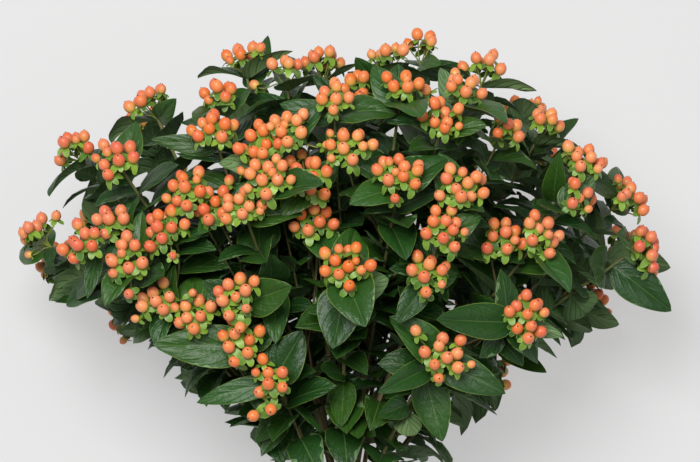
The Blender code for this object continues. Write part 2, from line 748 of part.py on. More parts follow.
def place_leaves(room, stems, rng):
    """A pair of leaves under each cluster and each twig, then pairs down each stem."""
    for index, stem in enumerate(stems):
        for order, cluster in enumerate(stem["clusters"]):
            axis = cluster["axis"]
            out = np.cross(axis, cluster["towards"])
            for half in range(2):
                if cluster["leaves"][half] is not None:
                    continue
                length = rng.uniform(48, 62) if order == 0 else rng.uniform(42, 54)
                cluster["leaves"][half] = place_leaf(
                    room, index, cluster["id"], cluster["node"] - axis * NODE_HALF, axis,
                    out * (1 - 2 * half), rng, length, order == 0,
                )
    for index, stem in enumerate(stems):
        path = stem["path"]
        taken = [n["s"] for n in stem["nodes"]]
        _, ahead, side = path.at(path.length)
        tip_out = np.cross(stem["clusters"][0]["axis"], stem["clusters"][0]["towards"])
        turn = math.atan2(np.dot(tip_out, np.cross(ahead, side)), np.dot(tip_out, side))
        s = path.length - LEAF_STEP
        while s > 0 and path.at(s)[0][1] > LEAF_LOWEST_Y:
            turn += math.pi / 2 + rng.uniform(-0.2, 0.2)
            if all(abs(s - other) > 15 for other in taken):
                centre, ahead, side = path.at(s)
                out = math.cos(turn) * side + math.sin(turn) * np.cross(ahead, side)
                stem["nodes"].append({"s": s, "out": out, "twig": None, "leaves": [None, None]})
            s -= LEAF_STEP * rng.uniform(0.9, 1.1)
        stem["nodes"].sort(key=lambda n: n["s"])
        for number, node in enumerate(stem["nodes"]):
            centre, ahead, side = path.at(node["s"])
            envelope = (max(centre[1], 20.0) / 300.0) ** 1.15
            outer = math.hypot(centre[0] / (250 * envelope), centre[2] / (135 * envelope))
            if outer < LEAFY_FROM[0 if centre[2] > 0 else 1] or node["leaves"] != [None, None]:
                continue
            below = centre - ahead * (2 * NODE_HALF + 0.6 if node["twig"] else 0.0)
            for half in range(2):
                node["leaves"][half] = place_leaf(
                    room, index, 1000 + number, below, ahead, node["out"] * (1 - 2 * half), rng,
                    rng.uniform(48, 64), False,
                )


def bunch():
    """Every stem with its clusters, twigs and leaves, the places of the stems, and the room left."""
    rng = random.Random(SEED)
    room = Room()
    clusters = cluster_list(rng)
    groups = stem_groups(clusters)
    nodes, axes = [], []
    for middle, _ in clusters:
        axis = cluster_axis(middle)
        axes.append(axis)
        nodes.append(middle - axis * CLUSTER_RISE)
    stems, slots = place_stems(room, groups, nodes, axes, rng)
    place_clusters(room, groups, stems, clusters, nodes, axes, rng)
    place_twigs(room, stems, rng)
    place_seen_leaves(room, stems, rng)
    place_leaves(room, stems, rng)
    return stems, slots, room


# The closed skin of a stem
class Skin:
    """Points and triangles of one closed surface, with what each triangle is and belongs to."""

    def __init__(self):
        self.points, self.faces, self.kinds, self.tags = [], [], [], []
        self.kind, self.tag = "bark", None

    def ring(self, centre, ahead, first, radius, count=4):
        """New points round a centre, the first of them towards a given direction."""
        side = unit(first - ahead * np.dot(first, ahead))
        other = np.cross(ahead, side)
        start = len(self.points)
        for k in range(count):
            a = 2 * math.pi * k / count
            self.points.append(centre + radius * (math.cos(a) * side + math.sin(a) * other))
        return list(range(start, start + count))

    def add(self, faces):
        self.faces += faces
        self.kinds += [self.kind] * len(faces)
        self.tags += [self.tag] * len(faces)

    def wall(self, low, high, openings=()):
        """Quads between two rings of four, leaving some of the four sides open."""
        quads = {}
        for k in range(4):
            n = (k + 1) % 4
            quad = (low[k], low[n], high[n], high[k])
            if k in openings:
                quads[k] = quad
            else:
                self.add([(quad[0], quad[1], quad[2]), (quad[0], quad[2], quad[3])])
        return quads

    def bridge(self, low, high):
        """Triangles between two rings with any number of points."""
        place = np.array(self.points)
        shift = min(range(len(high)), key=lambda j: np.linalg.norm(place[high[j]] - place[low[0]]))
        high = high[shift:] + high[:shift]
        low, high = list(low) + [low[0]], list(high) + [high[0]]
        i = j = 0
        faces = []
        while i < len(low) - 1 or j < len(high) - 1:
            if (i + 1) * (len(high) - 1) <= (j + 1) * (len(low) - 1) and i < len(low) - 1:
                faces.append((low[i], low[i + 1], high[j]))
                i += 1
            else:
                faces.append((low[i], high[j + 1], high[j]))
                j += 1
        self.add(faces)

    def centre(self, quad):
        return sum(self.points[q] for q in quad) / len(quad)

    def berry(self, root, middle, radius):
        """A pedicel and a berry out of an open ring."""
        start = self.centre(root)
        axis = unit(middle - start)
        half = radius * BERRY_LONG
        first = self.points[root[0]] - start
        self.kind = "bark"
        neck = self.ring(middle - axis * 0.97 * half, axis, first, PEDICEL_RADIUS, 3)
        self.bridge(list(root), neck)
        self.kind = "berry"
        last = neck
        for along, share in BERRY_RINGS:
            ring = self.ring(middle + axis * along * half, axis, first, share * radius)
            self.bridge(last, ring)
            last = ring
        self.points.append(middle + axis * half)
        apex = len(self.points) - 1
        self.add([(last[k], last[(k + 1) % 4], apex) for k in range(4)])
        self.kind = "bark"

    def leaf(self, quad, leaf):
        """A blade out of an open quad, by the edge of it that lies nearest to the blade's upper side."""
        self.kind = "leaf"
        turned = [tuple(quad[r:] + quad[:r]) for r in range(4)]
        quad = max(turned, key=lambda q: np.dot(self.centre(q[2:]) - self.centre(q[:2]), leaf["n"]))
        upper, lower = leaf_sheets(leaf, LEAF_THICKNESS)
        count = len(self.points)
        self.points += upper + lower
        size = len(upper)
        over = [quad[3]] + list(range(count, count + 5)) + [quad[2]]
        over += list(range(count + 5, count + size))
        under = [quad[0]] + list(range(count + size, count + size + 5)) + [quad[1]]
        under += list(range(count + size + 5, count + 2 * size))
        self.add(leaf_faces(leaf, over, under))
        self.kind = "bark"

    def close(self, ring, flip=False):
        a, b, c, d = ring
        self.add([(a, c, b), (a, d, c)] if flip else [(a, b, c), (a, c, d)])


def side_of(path, s, radius, skin, out, last):
    """A ring of four whose sides face a direction and its three quarter turns.

    The number of quarter turns that keep it in step with the ring before it comes with it.
    """
    centre, ahead, side = path.at(s)
    if out is None:
        return skin.ring(centre, ahead, math.cos(last) * side + math.sin(last) * np.cross(ahead, side),
                         radius), last, 0
    turn = math.atan2(np.dot(out, np.cross(ahead, side)), np.dot(out, side)) - math.pi / 4
    quarter = round((last - turn) / (math.pi / 2))
    turn += quarter * math.pi / 2
    first = math.cos(turn) * side + math.sin(turn) * np.cross(ahead, side)
    return skin.ring(centre, ahead, first, radius), turn, quarter


def grow_tip(skin, path, last_ring, turn, cluster, radius, dropped):
    """The leaf pair and the kept berries at the end of a stem or twig."""
    out = np.cross(cluster["axis"], cluster["towards"])
    low, turn, quarter = side_of(path, path.length - 2 * NODE_HALF, radius, skin, out, turn)
    skin.wall(last_ring, low)
    high, _, _ = side_of(path, path.length, radius, skin, out, turn)
    leaves = {}
    for half, leaf in enumerate(cluster["leaves"]):
        if leaf is not None and id(leaf) not in dropped:
            leaves[(2 * half - quarter) % 4] = leaf
    # A berry grows from each of the two sides between the leaves
    middle, outer, facing = cluster["kept"]
    sprouts = {(3 - quarter) % 4: outer}
    if facing is not None:
        sprouts[(1 - quarter) % 4] = facing
    quads = skin.wall(low, high, tuple(leaves) + tuple(sprouts))
    for k, leaf in leaves.items():
        skin.tag = leaf
        skin.leaf(quads[k], leaf)
    skin.tag = None
    for k, berry in sprouts.items():
        skin.berry(quads[k], cluster["spots"][berry], cluster["radii"][berry])
    skin.berry(high, cluster["spots"][middle], cluster["radii"][middle])


def grow_stem(stem, dropped):
    """The whole closed skin of one leafy stem."""
    skin = Skin()
    path = stem["path"]
    slot = path.points[2]
    aim = unit(slot + vec(0.01, 0, 0))
    ring, turn, _ = side_of(path, 0.0, STEM_RADIUS[0], skin, aim, 0.0)
    skin.close(ring, flip=True)
    at_band = path.along[2]
    ring_s = 0.0
    for s in (at_band, at_band + 55.0):
        high, turn, _ = side_of(path, s, stem_radius(s, path.length), skin, None, turn)
        skin.wall(ring, high)
        ring, ring_s = high, s
    for node in stem["nodes"]:
        s = node["s"]
        if s < ring_s + 8:
            continue
        leaves = [leaf if leaf is not None and id(leaf) not in dropped else None for leaf in node["leaves"]]
        if not node["twig"] and leaves == [None, None]:
            continue
        radius = stem_radius(s, path.length)
        while s - ring_s > 75:
            ring_s += 55
            high, turn, _ = side_of(path, ring_s, stem_radius(ring_s, path.length), skin, None, turn)
            skin.wall(ring, high)
            ring = high
        below = s - (2 * NODE_HALF + 0.6 if node["twig"] else 0.0)
        if leaves != [None, None]:
            low, turn, quarter = side_of(path, below - NODE_HALF, radius, skin, node["out"], turn)
            skin.wall(ring, low)
            high, turn, extra = side_of(path, below + NODE_HALF, radius, skin, node["out"], turn)
            opened = {}
            for half, leaf in enumerate(leaves):
                if leaf is not None:
                    opened[(2 * half - quarter) % 4] = leaf
            quads = skin.wall(low, high, tuple(opened))
            for k, leaf in opened.items():
                skin.tag = leaf
                skin.leaf(quads[k], leaf)
            skin.tag = None
            ring = high
        if node["twig"]:
            low, turn, quarter = side_of(path, s - NODE_HALF, radius, skin, node["out"], turn)
            skin.wall(ring, low)
            high, turn, extra = side_of(path, s + NODE_HALF, radius, skin, node["out"], turn)
            k = (0 - quarter) % 4
            quads = skin.wall(low, high, (k,))
            grow_twig(skin, quads[k], node["twig"], dropped)
            ring = high
        ring_s = s
    while path.length - ring_s > 75:
        ring_s += 55
        high, turn, _ = side_of(path, ring_s, stem_radius(ring_s, path.length), skin, None, turn)
        skin.wall(ring, high)
        ring = high
    grow_tip(skin, path, ring, turn, stem["clusters"][0], STEM_RADIUS[1], dropped)
    return skin


def grow_twig(skin, quad, cluster, dropped):
    """A twig out of an open quad, with the cluster at its end."""
    path = cluster["path"]
    steps = twig_rings(path.length)
    centre, ahead, side = path.at(steps[0])
    first = skin.points[quad[0]] - skin.centre(quad)
    first = first - ahead * np.dot(first, ahead)
    turn = math.atan2(np.dot(first, np.cross(ahead, side)), np.dot(first, side))
    ring = quad
    for s in steps:
        high, turn, _ = side_of(path, s, TWIG_RADIUS[0], skin, None, turn)
        skin.wall(ring, high)
        ring = high
    grow_tip(skin, path, ring, turn, cluster, TWIG_RADIUS[1], dropped)


def crossing_leaves(skin):
    """The leaves whose triangles cross a triangle that they don't touch."""
    tree = BVHTree.FromPolygons([tuple(p) for p in skin.points], skin.faces)
    found = []
    others = 0
    for a, b in tree.overlap(tree):
        if a < b and not set(skin.faces[a]) & set(skin.faces[b]):
            tag = skin.tags[a] or skin.tags[b]
            if tag is None:
                others += 1
            elif not any(tag is t for t in found):
                found.append(tag)
    return found, others


# Solids in Blender
def material(name):
    colour, rough = COLOURS[name]
    made = bpy.data.materials.get(name)
    if made is None:
        made = bpy.data.materials.new(name)
        made.use_nodes = True
        shader = made.node_tree.nodes["Principled BSDF"]
        shader.inputs["Base Color"].default_value = colour
        shader.inputs["Roughness"].default_value = rough
        made.diffuse_color = colour
    return made


def lay_down(points):
    """From the upright layout in millimetres to the lying bunch in metres."""
    tip, roll = math.radians(TIP_DEG), math.radians(ROLL_DEG)
    x, y, z = points[:, 0], points[:, 1], points[:, 2]
    x, z = x * math.cos(roll) + z * math.sin(roll), z * math.cos(roll) - x * math.sin(roll)
    y, z = y * math.cos(tip) - z * math.sin(tip), z * math.cos(tip) + y * math.sin(tip)
    return np.column_stack([x, y, z]) * 0.001 + np.array(SHIFT)


def mesh_object(name, shape, slot, slots):
    points, faces = shape
    mesh = bpy.data.meshes.new(name)
    mesh.from_pydata([tuple(p) for p in lay_down(points)], [], faces)
    for each in slots:
        mesh.materials.append(material(each))
    mesh.polygons.foreach_set("material_index", [slots.index(slot)] * len(faces))
    bm = bmesh.new()
    bm.from_mesh(mesh)
    bmesh.ops.recalc_face_normals(bm, faces=bm.faces)
    bm.to_mesh(mesh)
    bm.free()
    made = bpy.data.objects.new(name, mesh)
    return made


def band_shape(slots):
    """The turns of rubber band round the stems, as a ribbed ring."""
    ring = []
    steps = 20
    reach = STEM_RADIUS[0] + 0.35
    for k in range(steps):
        a = 2 * math.pi * k / steps
        out = vec(math.cos(a), 0, math.sin(a))
        ring.append(out * (max(np.dot(s, out) for s in slots) + reach))
    rise = (-3.6, -3.6, -1.8, 0.0, 1.8, 3.6, 3.6)
    thick = (0.0, 1.7, 0.9, 2.0, 0.9, 1.7, 0.0)
    points, faces = [], []
    for centre in ring:
        out = unit(centre)
        points += [centre + out * t + vec(0, y, 0) for y, t in zip(rise, thick)]
    size = len(rise)
    for k in range(steps):
        n = (k + 1) % steps
        for j in range(size):
            m = (j + 1) % size
            a, b, c, d = k * size + j, n * size + j, n * size + m, k * size + m
            faces += [(a, b, c), (a, c, d)]
    return np.array(points), faces


def stem_object(name, skin, slots=("bark", "leaf", "berry")):
    mesh = bpy.data.meshes.new(name)
    mesh.from_pydata([tuple(p) for p in lay_down(np.array(skin.points))], [], skin.faces)
    for each in slots:
        mesh.materials.append(material(each))
    mesh.polygons.foreach_set("material_index", [slots.index(kind) for kind in skin.kinds])
    made = bpy.data.objects.new(name, mesh)
    bpy.context.scene.collection.objects.link(made)
    return made


def rest_flat(made):
    """Cuts what would reach below the surface off flat."""
    if min(v.co.z for v in made.data.vertices) >= 0.0:
        return
    bm = bmesh.new()
    bm.from_mesh(made.data)
    cut = bmesh.ops.bisect_plane(
        bm, geom=bm.verts[:] + bm.edges[:] + bm.faces[:], dist=1e-7,
        plane_co=(0, 0, 0), plane_no=(0, 0, 1), clear_inner=True,
    )
    edges = [e for e in cut["geom_cut"] if isinstance(e, bmesh.types.BMEdge)]
    bmesh.ops.holes_fill(bm, edges=edges, sides=0)
    bmesh.ops.triangulate(bm, faces=bm.faces)
    bm.to_mesh(made.data)
    bm.free()


def grow_all(stems):
    """The skins of all stems, without the few leaves that would cross something."""
    dropped = set()
    skins = [grow_stem(stem, dropped) for stem in stems]
    for _ in range(6):
        crossing = {}
        for index, skin in enumerate(skins):
            for leaf in crossing_leaves(skin)[0]:
                crossing[id(leaf)] = index
        trees = [BVHTree.FromPolygons([tuple(p) for p in s.points], s.faces) for s in skins]
        for i, one in enumerate(skins):
            for j in range(i):
                for a, b in trees[i].overlap(trees[j]):
                    if one.tags[a] is not None:
                        crossing[id(one.tags[a])] = i
                    elif skins[j].tags[b] is not None:
                        crossing[id(skins[j].tags[b])] = j
        if not crossing:
            break
        dropped |= set(crossing)
        for index in set(crossing.values()):
            skins[index] = grow_stem(stems[index], dropped)
    return skins


def build():
    for old in list(bpy.data.objects):
        bpy.data.objects.remove(old)
    stems, slots, _ = bunch()
    skins = grow_all(stems)
    for index, skin in enumerate(skins):
        rest_flat(stem_object(f"stem_{index + 1:02d}", skin))
    band = mesh_object("band", band_shape(slots), "rubber", ("rubber",))
    bpy.context.scene.collection.objects.link(band)


build()
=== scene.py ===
"""The looks of a cut bunch of hypericum that lies on its side, built round its CAD solids.

The bunch is laid out upright in millimetres as in the solids' own source (X to its left and right,
Y from the cut ends to the berries, Z towards the side that is seen) and is then laid down.
Every woody stem, leaf and kept berry stands where its solid does. Further berries, calyces,
stalks, small inner leaves and some upright leaves along the top are added.
"""

import math
import random

import bmesh
import bpy
import numpy as np
from mathutils import Matrix, Vector
from mathutils.bvhtree import BVHTree
from mathutils.kdtree import KDTree


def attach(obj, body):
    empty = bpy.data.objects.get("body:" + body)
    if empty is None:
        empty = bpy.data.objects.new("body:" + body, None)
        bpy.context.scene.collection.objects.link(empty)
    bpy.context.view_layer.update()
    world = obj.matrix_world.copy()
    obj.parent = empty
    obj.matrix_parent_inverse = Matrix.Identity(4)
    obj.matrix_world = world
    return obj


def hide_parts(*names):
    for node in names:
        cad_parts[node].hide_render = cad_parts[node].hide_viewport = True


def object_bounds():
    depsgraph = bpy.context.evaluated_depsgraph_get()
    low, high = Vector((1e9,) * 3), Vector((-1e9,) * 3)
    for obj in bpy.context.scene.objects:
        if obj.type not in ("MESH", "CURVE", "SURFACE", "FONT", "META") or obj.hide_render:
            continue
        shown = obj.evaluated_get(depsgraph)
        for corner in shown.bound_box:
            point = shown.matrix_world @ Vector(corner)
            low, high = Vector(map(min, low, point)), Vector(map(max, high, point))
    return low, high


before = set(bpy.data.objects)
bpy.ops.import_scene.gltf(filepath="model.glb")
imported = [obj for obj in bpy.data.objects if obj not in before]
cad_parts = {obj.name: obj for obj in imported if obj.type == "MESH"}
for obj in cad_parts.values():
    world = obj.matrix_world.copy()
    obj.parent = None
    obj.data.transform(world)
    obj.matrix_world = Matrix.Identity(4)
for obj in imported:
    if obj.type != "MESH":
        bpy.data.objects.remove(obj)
SIZE_BEFORE = [list(map(float, corner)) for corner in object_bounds()]
BOX_LOW = np.array(SIZE_BEFORE[0])
BOX_HIGH = np.array(SIZE_BEFORE[1])

# Sizes of the bunch, in millimetres
HEAD_MID_Y = 290.0  # height of the middle of the head above the band
HEAD_HALF = (300.0, 200.0, 160.0)  # half sizes of the head's egg shape
CUT_Y = -132.0  # cut ends, below the band
SLOT_STEP = 4.85  # spacing of the stems inside the band, which stand as in a honeycomb
SLOT_ROW = 0.8660254  # the step between two rows of them, as a share of the spacing
SLOT_SPREAD = 15.0  # the outermost stem's place is sought this far from the middle
CUT_SPREAD = 1.22  # the cut ends stand this much wider than the stems in the band
STEM_RADIUS = (2.5, 1.35)  # at the cut end and at the tip
TWIG_RADIUS = (1.35, 1.1)
NODE_HALF = 1.2  # half the length of a stem that a pair of leaves grows from
BERRY_RADIUS = 5.35
BERRY_LONG = 1.12  # half the length of a berry for each unit of its radius
PEDICEL_RADIUS = 0.75
CLUSTER_RISE = 21.0  # from the leaf pair under a cluster to the middle of its berries
CLUSTER_RADIUS = 20.5
LEAF_THICKNESS = 0.8
LEAF_STEP = 40.0  # between two pairs of leaves on a stem
LEAF_LOWEST_Y = 96.0  # stems are stripped of leaves below this
LEAFY_FROM = (0.58, 0.82)  # share of the way out, on the seen and on the lain-on side, of leaves
TIP_LEAF_LONG = (48, 62)  # the length of a leaf under the cluster at the end of a stem
TWIG_LEAF_LONG = (42, 54)
PAIR_LEAF_LONG = (48, 64)
LEAF_SPREAD = (0.75, 1.25)  # radians between a leaf and its stem
LEAF_SLIM = (0.62, 0.78)  # its width as a share of its length
LEAF_BEND = (0.15, 0.95)
LEAF_FOLD = (0.12, 0.5)
LEAF_TWIST = (-0.35, 0.35)
LEAF_TRIES = 16
LEAF_START = 0.02  # share of a leaf's length that is left out where it is tested for room
LEAF_OUT = 1.2  # a leaf starts this far out from the middle of its stem
CLEARANCE = 0.45
STEEPEST = 0.78  # the least angle between a stem and a leaf, where the leaf starts
LIE_DEG = 16.4  # the side that is lain on is pressed to a plane at this angle
LIE_FLOOR = -56.0
TWIGS_A_STEM = 2
BACK_CLUSTERS = 32
STEM_TRIES = 40
CLUSTER_TRIES = 24
TWIG_TRIES = 40
TWIG_FROM = (0.50, 0.90)  # share of the stem's length at which a twig leaves it
TWIG_APART = 15.0
TWIG_REACH = 92.0  # a cluster this near to the tip of a stem may be its twig
TWIG_LEAN = 0.93  # and in about the same direction from the band, as a cosine
GOLDEN_TURN = 2.399963  # radians from one seed to the next in a spiral
ROUND = 6.28  # radians in a whole turn, for random draws
SEED = 22

# How the bunch lies: tipped back on its head, rolled, and set on the surface
TIP_DEG = 17.5542
ROLL_DEG = -0.9085
SHIFT = (-0.001129, -0.169021, 0.056361)

# Berry clusters on the seen side: across, up from the band, berries, share of the full depth
SEEN = (
    (-89, 465, 5, 0.2), (-52, 454, 4, 0.6), (-20, 461, 8, -0.2), (-9, 425, 6, 1),
    (8, 437, 5, 0.5), (37, 466, 6, 0.3), (48, 437, 6, 1), (69, 477, 5, -0.4),
    (102, 435, 7, 0.9), (124, 458, 6, 0.1), (-106, 430, 7, 0.6), (83, 410, 10, 1), (-171, 428, 9, 0.2),
    (-239, 386, 9, 0.0), (-197, 376, 10, 1), (-210, 348, 8, 1), (-194, 329, 7, 0.8),
    (-274, 308, 8, 0.1), (-223, 304, 9, 1), (-187, 290, 9, 1), (-135, 350, 10, 1),
    (-150, 318, 10, 1), (-112, 398, 9, 1), (-87, 400, 10, 1), (-47, 400, 9, 1),
    (-72, 363, 11, 1), (-86, 334, 9, 1), (-112, 334, 8, 0.9), (-30, 358, 9, 0.9),
    (3, 385, 11, 1), (-26, 322, 8, 0.8), (46, 361, 12, 1), (98, 351, 10, 1),
    (83, 315, 10, 1), (0, 284, 11, 1.04), (-91, 261, 9, 1), (-87, 221, 9, 1),
    (-65, 190, 7, 1), (-129, 242, 8, 0.9), (-158, 256, 7, 0.9), (83, 209, 9, 1),
    (72, 278, 9, 0.95), (154, 242, 11, 1), (135, 306, 9, 0.7), (168, 308, 8, 0.8),
    (206, 374, 11, 0.7), (174, 406, 5, 0.2), (246, 344, 9, 0.3), (261, 299, 9, 0.2),
    (135, 400, 6, 0.8), (197, 343, 6, 0.8),
)

# Leaves that the photo shows, in its own pixels: where a leaf starts, where it ends, how wide it is,
# and 1 where its upper side is seen, -1 where its pale lower side is
LEAVES_SEEN = (
    (261, 80, 268, 33, 30, 1), (311, 72, 316, 39, 24, -1), (352, 88, 357, 48, 31, 1),
    (402, 100, 399, 46, 38, 1), (430, 82, 426, 42, 24, -1), (440, 74, 473, 68, 22, 1),
    (480, 66, 517, 44, 22, 1), (288, 110, 238, 96, 24, 1), (264, 132, 271, 100, 30, 1),
    (324, 136, 312, 95, 30, 1), (356, 140, 352, 104, 35, 1), (349, 96, 312, 76, 22, 1),
    (452, 186, 434, 137, 38, 1), (524, 134, 516, 92, 24, -1), (507, 180, 518, 132, 44, -1),
    (543, 194, 556, 134, 24, 1), (557, 152, 579, 113, 24, 1), (576, 168, 618, 149, 32, 1),
    (622, 226, 656, 200, 30, 1), (588, 216, 608, 182, 32, -1), (578, 215, 524, 200, 30, 1),
    (612, 286, 562, 246, 42, 1), (614, 286, 678, 317, 40, 1), (576, 306, 600, 336, 40, -1),
    (592, 300, 546, 285, 28, 1), (544, 324, 583, 341, 20, -1), (552, 340, 592, 353, 24, 1),
    (468, 302, 506, 288, 36, 1), (514, 300, 544, 279, 24, -1), (484, 344, 405, 314, 36, 1),
    (352, 284, 334, 341, 46, 1), (352, 250, 338, 202, 36, 1), (398, 268, 388, 220, 32, 1),
    (372, 292, 406, 271, 34, -1), (364, 322, 392, 304, 26, 1), (424, 309, 459, 253, 20, 1),
    (262, 292, 272, 238, 36, 1), (267, 306, 313, 277, 38, 1), (250, 304, 280, 362, 30, 1),
    (174, 120, 198, 80, 24, 1), (190, 140, 126, 138, 20, 1), (192, 176, 152, 152, 30, 1),
    (112, 160, 82, 132, 24, 1), (58, 210, 64, 262, 16, 1), (44, 256, 52, 297, 15, 1),
    (88, 268, 95, 300, 17, 1), (226, 350, 138, 340, 42, 1), (156, 308, 122, 314, 24, 1),
    (262, 394, 188, 401, 24, 1), (264, 398, 326, 444, 34, 1), (292, 424, 322, 470, 42, 1),
    (264, 404, 224, 418, 26, 1), (273, 414, 249, 447, 24, 1), (328, 382, 341, 432, 26, 1),
    (396, 396, 361, 417, 24, 1), (440, 362, 378, 386, 26, 1), (432, 382, 442, 444, 36, 1),
    (376, 468, 430, 448, 34, 1), (388, 404, 411, 432, 28, -1), (362, 420, 384, 442, 26, 1),
    (452, 364, 516, 396, 34, 1), (500, 344, 566, 383, 22, 1), (252, 172, 203, 160, 28, -1),
    (234, 328, 204, 352, 34, -1), (214, 280, 180, 258, 28, 1), (300, 250, 262, 214, 28, 1),
    (470, 238, 498, 200, 30, 1), (412, 330, 372, 352, 26, 1), (330, 372, 296, 352, 26, 1),
    (462, 420, 494, 446, 28, 1), (300, 346, 266, 330, 26, 1), (236, 250, 212, 222, 26, 1),
)
# The lower edge of the head, from its left to its right: across, up from the band
LOWER_EDGE = (
    (-290, 280), (-256, 250), (-217, 247), (-181, 213), (-152, 188), (-135, 160), (-98, 145), (-65, 111),
    (-45, 60), (70, 60), (109, 111), (132, 150), (192, 172), (220, 215), (257, 232), (290, 232),
)
EDGE_SLACK = 3.0  # how far a leaf may hang past that edge
PHOTO_MIDDLE = (345.0, 590.0)  # the pixels of the middle of the band
PHOTO_SCALE = 1.15  # pixels for each millimetre
SEEN_STARTS = 36  # so many places are tried for a seen leaf, so many times each
SEEN_TRIES = 9
SEEN_STRAY = 45.0  # and none is farther than this from where the photo has it
SEEN_SHORTEST = 40.0
SEEN_BASE_DROP = 22.0  # a seen leaf starts this far behind the surface of the head


# Small vector help
def vec(*values):
    return np.array(values, dtype=float)


def unit(v):
    return v / max(np.linalg.norm(v), 1e-9)


def beside(v, direction):
    """The part of a vector that is at right angles to a unit vector."""
    return v - direction * np.dot(v, direction)


def round_of(side, other, a):
    """The direction at an angle from one of two directions towards the other."""
    return math.cos(a) * side + math.sin(a) * other


def between(value, low=0.0, high=1.0):
    return min(high, max(low, value))


def across(direction):
    """Two unit vectors at right angles to a direction and to each other."""
    helper = vec(0, 0, 1) if abs(direction[2]) < 0.8 else vec(1, 0, 0)
    side = unit(np.cross(direction, helper))
    return side, np.cross(side, direction)


def bezier(p0, p1, p2, p3, count):
    t = np.linspace(0.0, 1.0, count)[:, None]
    s = 1.0 - t
    return s**3 * p0 + 3 * s * s * t * p1 + 3 * s * t * t * p2 + t**3 * p3


def round_tube(line, radii, sides=8):
    """Rows of points round a line, the last point of each row being its first."""
    line = np.asarray(line)
    ahead = np.vstack([line[1:2] - line[:1], line[2:] - line[:-2], line[-1:] - line[-2:-1]])
    side = across(unit(ahead[0]))[0]
    rows = []
    for centre, direction, radius in zip(line, ahead, radii):
        direction = unit(direction)
        side = unit(beside(side, direction))
        other = np.cross(direction, side)
        turns = [2 * math.pi * (k % sides) / sides for k in range(sides + 1)]
        rows.append([centre + radius * round_of(side, other, a) for a in turns])
    return np.array(rows)


# Closed shapes that stand in for pieces while the bunch is laid out, as (points, triangles)
def tube(path, radii, sides=4):
    """A closed tube with flat ends along a path."""
    points = round_tube(path, radii, sides)[:, :sides].reshape(-1, 3)
    faces = [(0, k + 1, k) for k in range(1, sides - 1)]
    for i in range(len(path) - 1):
        low = i * sides
        for k in range(sides):
            a, b = low + k, low + (k + 1) % sides
            faces += [(a, b, b + sides), (a, b + sides, a + sides)]
    top = (len(path) - 1) * sides
    faces += [(top, top + k, top + k + 1) for k in range(1, sides - 1)]
    return points, faces


BERRY_RINGS = ((-0.44, 1.04), (0.46, 0.98))  # share of the half length, share of the radius


def berry_shape(root, middle, radius, grow=0.0):
    """A berry with its pedicel, as a spindle."""
    axis = unit(middle - root)
    half = radius * BERRY_LONG
    path = [root, middle - axis * 0.97 * half]
    radii = [PEDICEL_RADIUS + grow, PEDICEL_RADIUS + grow]
    for along, share in BERRY_RINGS:
        path.append(middle + axis * along * half)
        radii.append(share * radius + grow)
    path.append(middle + axis * (half + grow))
    radii.append(0.3)
    return tube(path, radii, 5)


def half_width(t):
    """The outline of a leaf: rounded at the stem, widest at a third, pointed at the tip."""
    return math.sin(math.pi * t**0.62) ** 0.85 if 0.0 < t < 1.0 else 0.0


def leaf_frame(leaf, t):
    """The point on the midrib at a share of the length, with the side and upward directions."""
    bend = leaf["bend"] if abs(leaf["bend"]) > 1e-4 else 1e-4
    a = bend * t
    d, n = leaf["d"], leaf["n"]
    centre = leaf["base"] + leaf["length"] / bend * (math.sin(a) * d - (1 - math.cos(a)) * n)
    up = math.sin(a) * d + math.cos(a) * n
    side = np.cross(n, d)
    twist = leaf["twist"] * t
    return centre, round_of(side, up, twist), math.cos(twist) * up - math.sin(twist) * side


def leaf_point(leaf, t, s, widen=1.0):
    """A point of the blade: t runs along it, s from -1 to 1 across it."""
    centre, side, up = leaf_frame(leaf, t)
    w = abs(s) * half_width(t) * 0.5 * leaf["width"] * widen
    fold = leaf["fold"]
    return centre + w * (math.copysign(math.cos(fold), s) * side + math.sin(fold) * up)


# A leaf's stand-in, as length share, side and widening: five points round it, and those on its midrib
LEAF_RING = ((0.20, -1, 1.04), (0.62, -1, 1.06), (1, 0, 1), (0.62, 1, 1.06), (0.20, 1, 1.04))
BIG_MIDRIB = ((0.20, 0, 1), (0.62, 0, 1))
SMALL_MIDRIB = ((0.45, 0, 1),)
# and the triangles of its upper sheet, with its two starting corners as points 0 and 6
BIG_TOP = (
    (0, 1, 7), (0, 7, 6), (6, 7, 5), (1, 2, 8), (1, 8, 7), (5, 7, 8), (5, 8, 4), (2, 3, 8), (4, 8, 3),
)
SMALL_TOP = ((0, 1, 7), (1, 2, 7), (2, 3, 7), (3, 4, 7), (4, 5, 7), (5, 6, 7), (6, 0, 7))


def leaf_shape(leaf, thickness, start):
    """A blade from a share of its length on, with both sheets and its rim, to test for room."""
    spots = LEAF_RING + (BIG_MIDRIB if leaf["big"] else SMALL_MIDRIB)
    points = [(leaf_point(leaf, t, s, k), leaf_frame(leaf, t)[2]) for t, s, k in spots]
    centre, side, up = leaf_frame(leaf, start)
    half = 1.0 + 2.3 * start * leaf["width"]
    points.insert(0, (centre - side * half, up))
    points.insert(6, (centre + side * half, up))
    over = [point + up * thickness / 2 for point, up in points]
    under = [point - up * thickness / 2 for point, up in points]
    count = len(over)
    top = BIG_TOP if leaf["big"] else SMALL_TOP
    faces = list(top) + [(count + a, count + c, count + b) for a, b, c in top]
    for a in range(6):
        faces += [(count + a, count + a + 1, a + 1), (count + a, a + 1, a)]
    faces += [(6, 0, count), (6, count, count + 6)]
    return np.array(over + under), faces


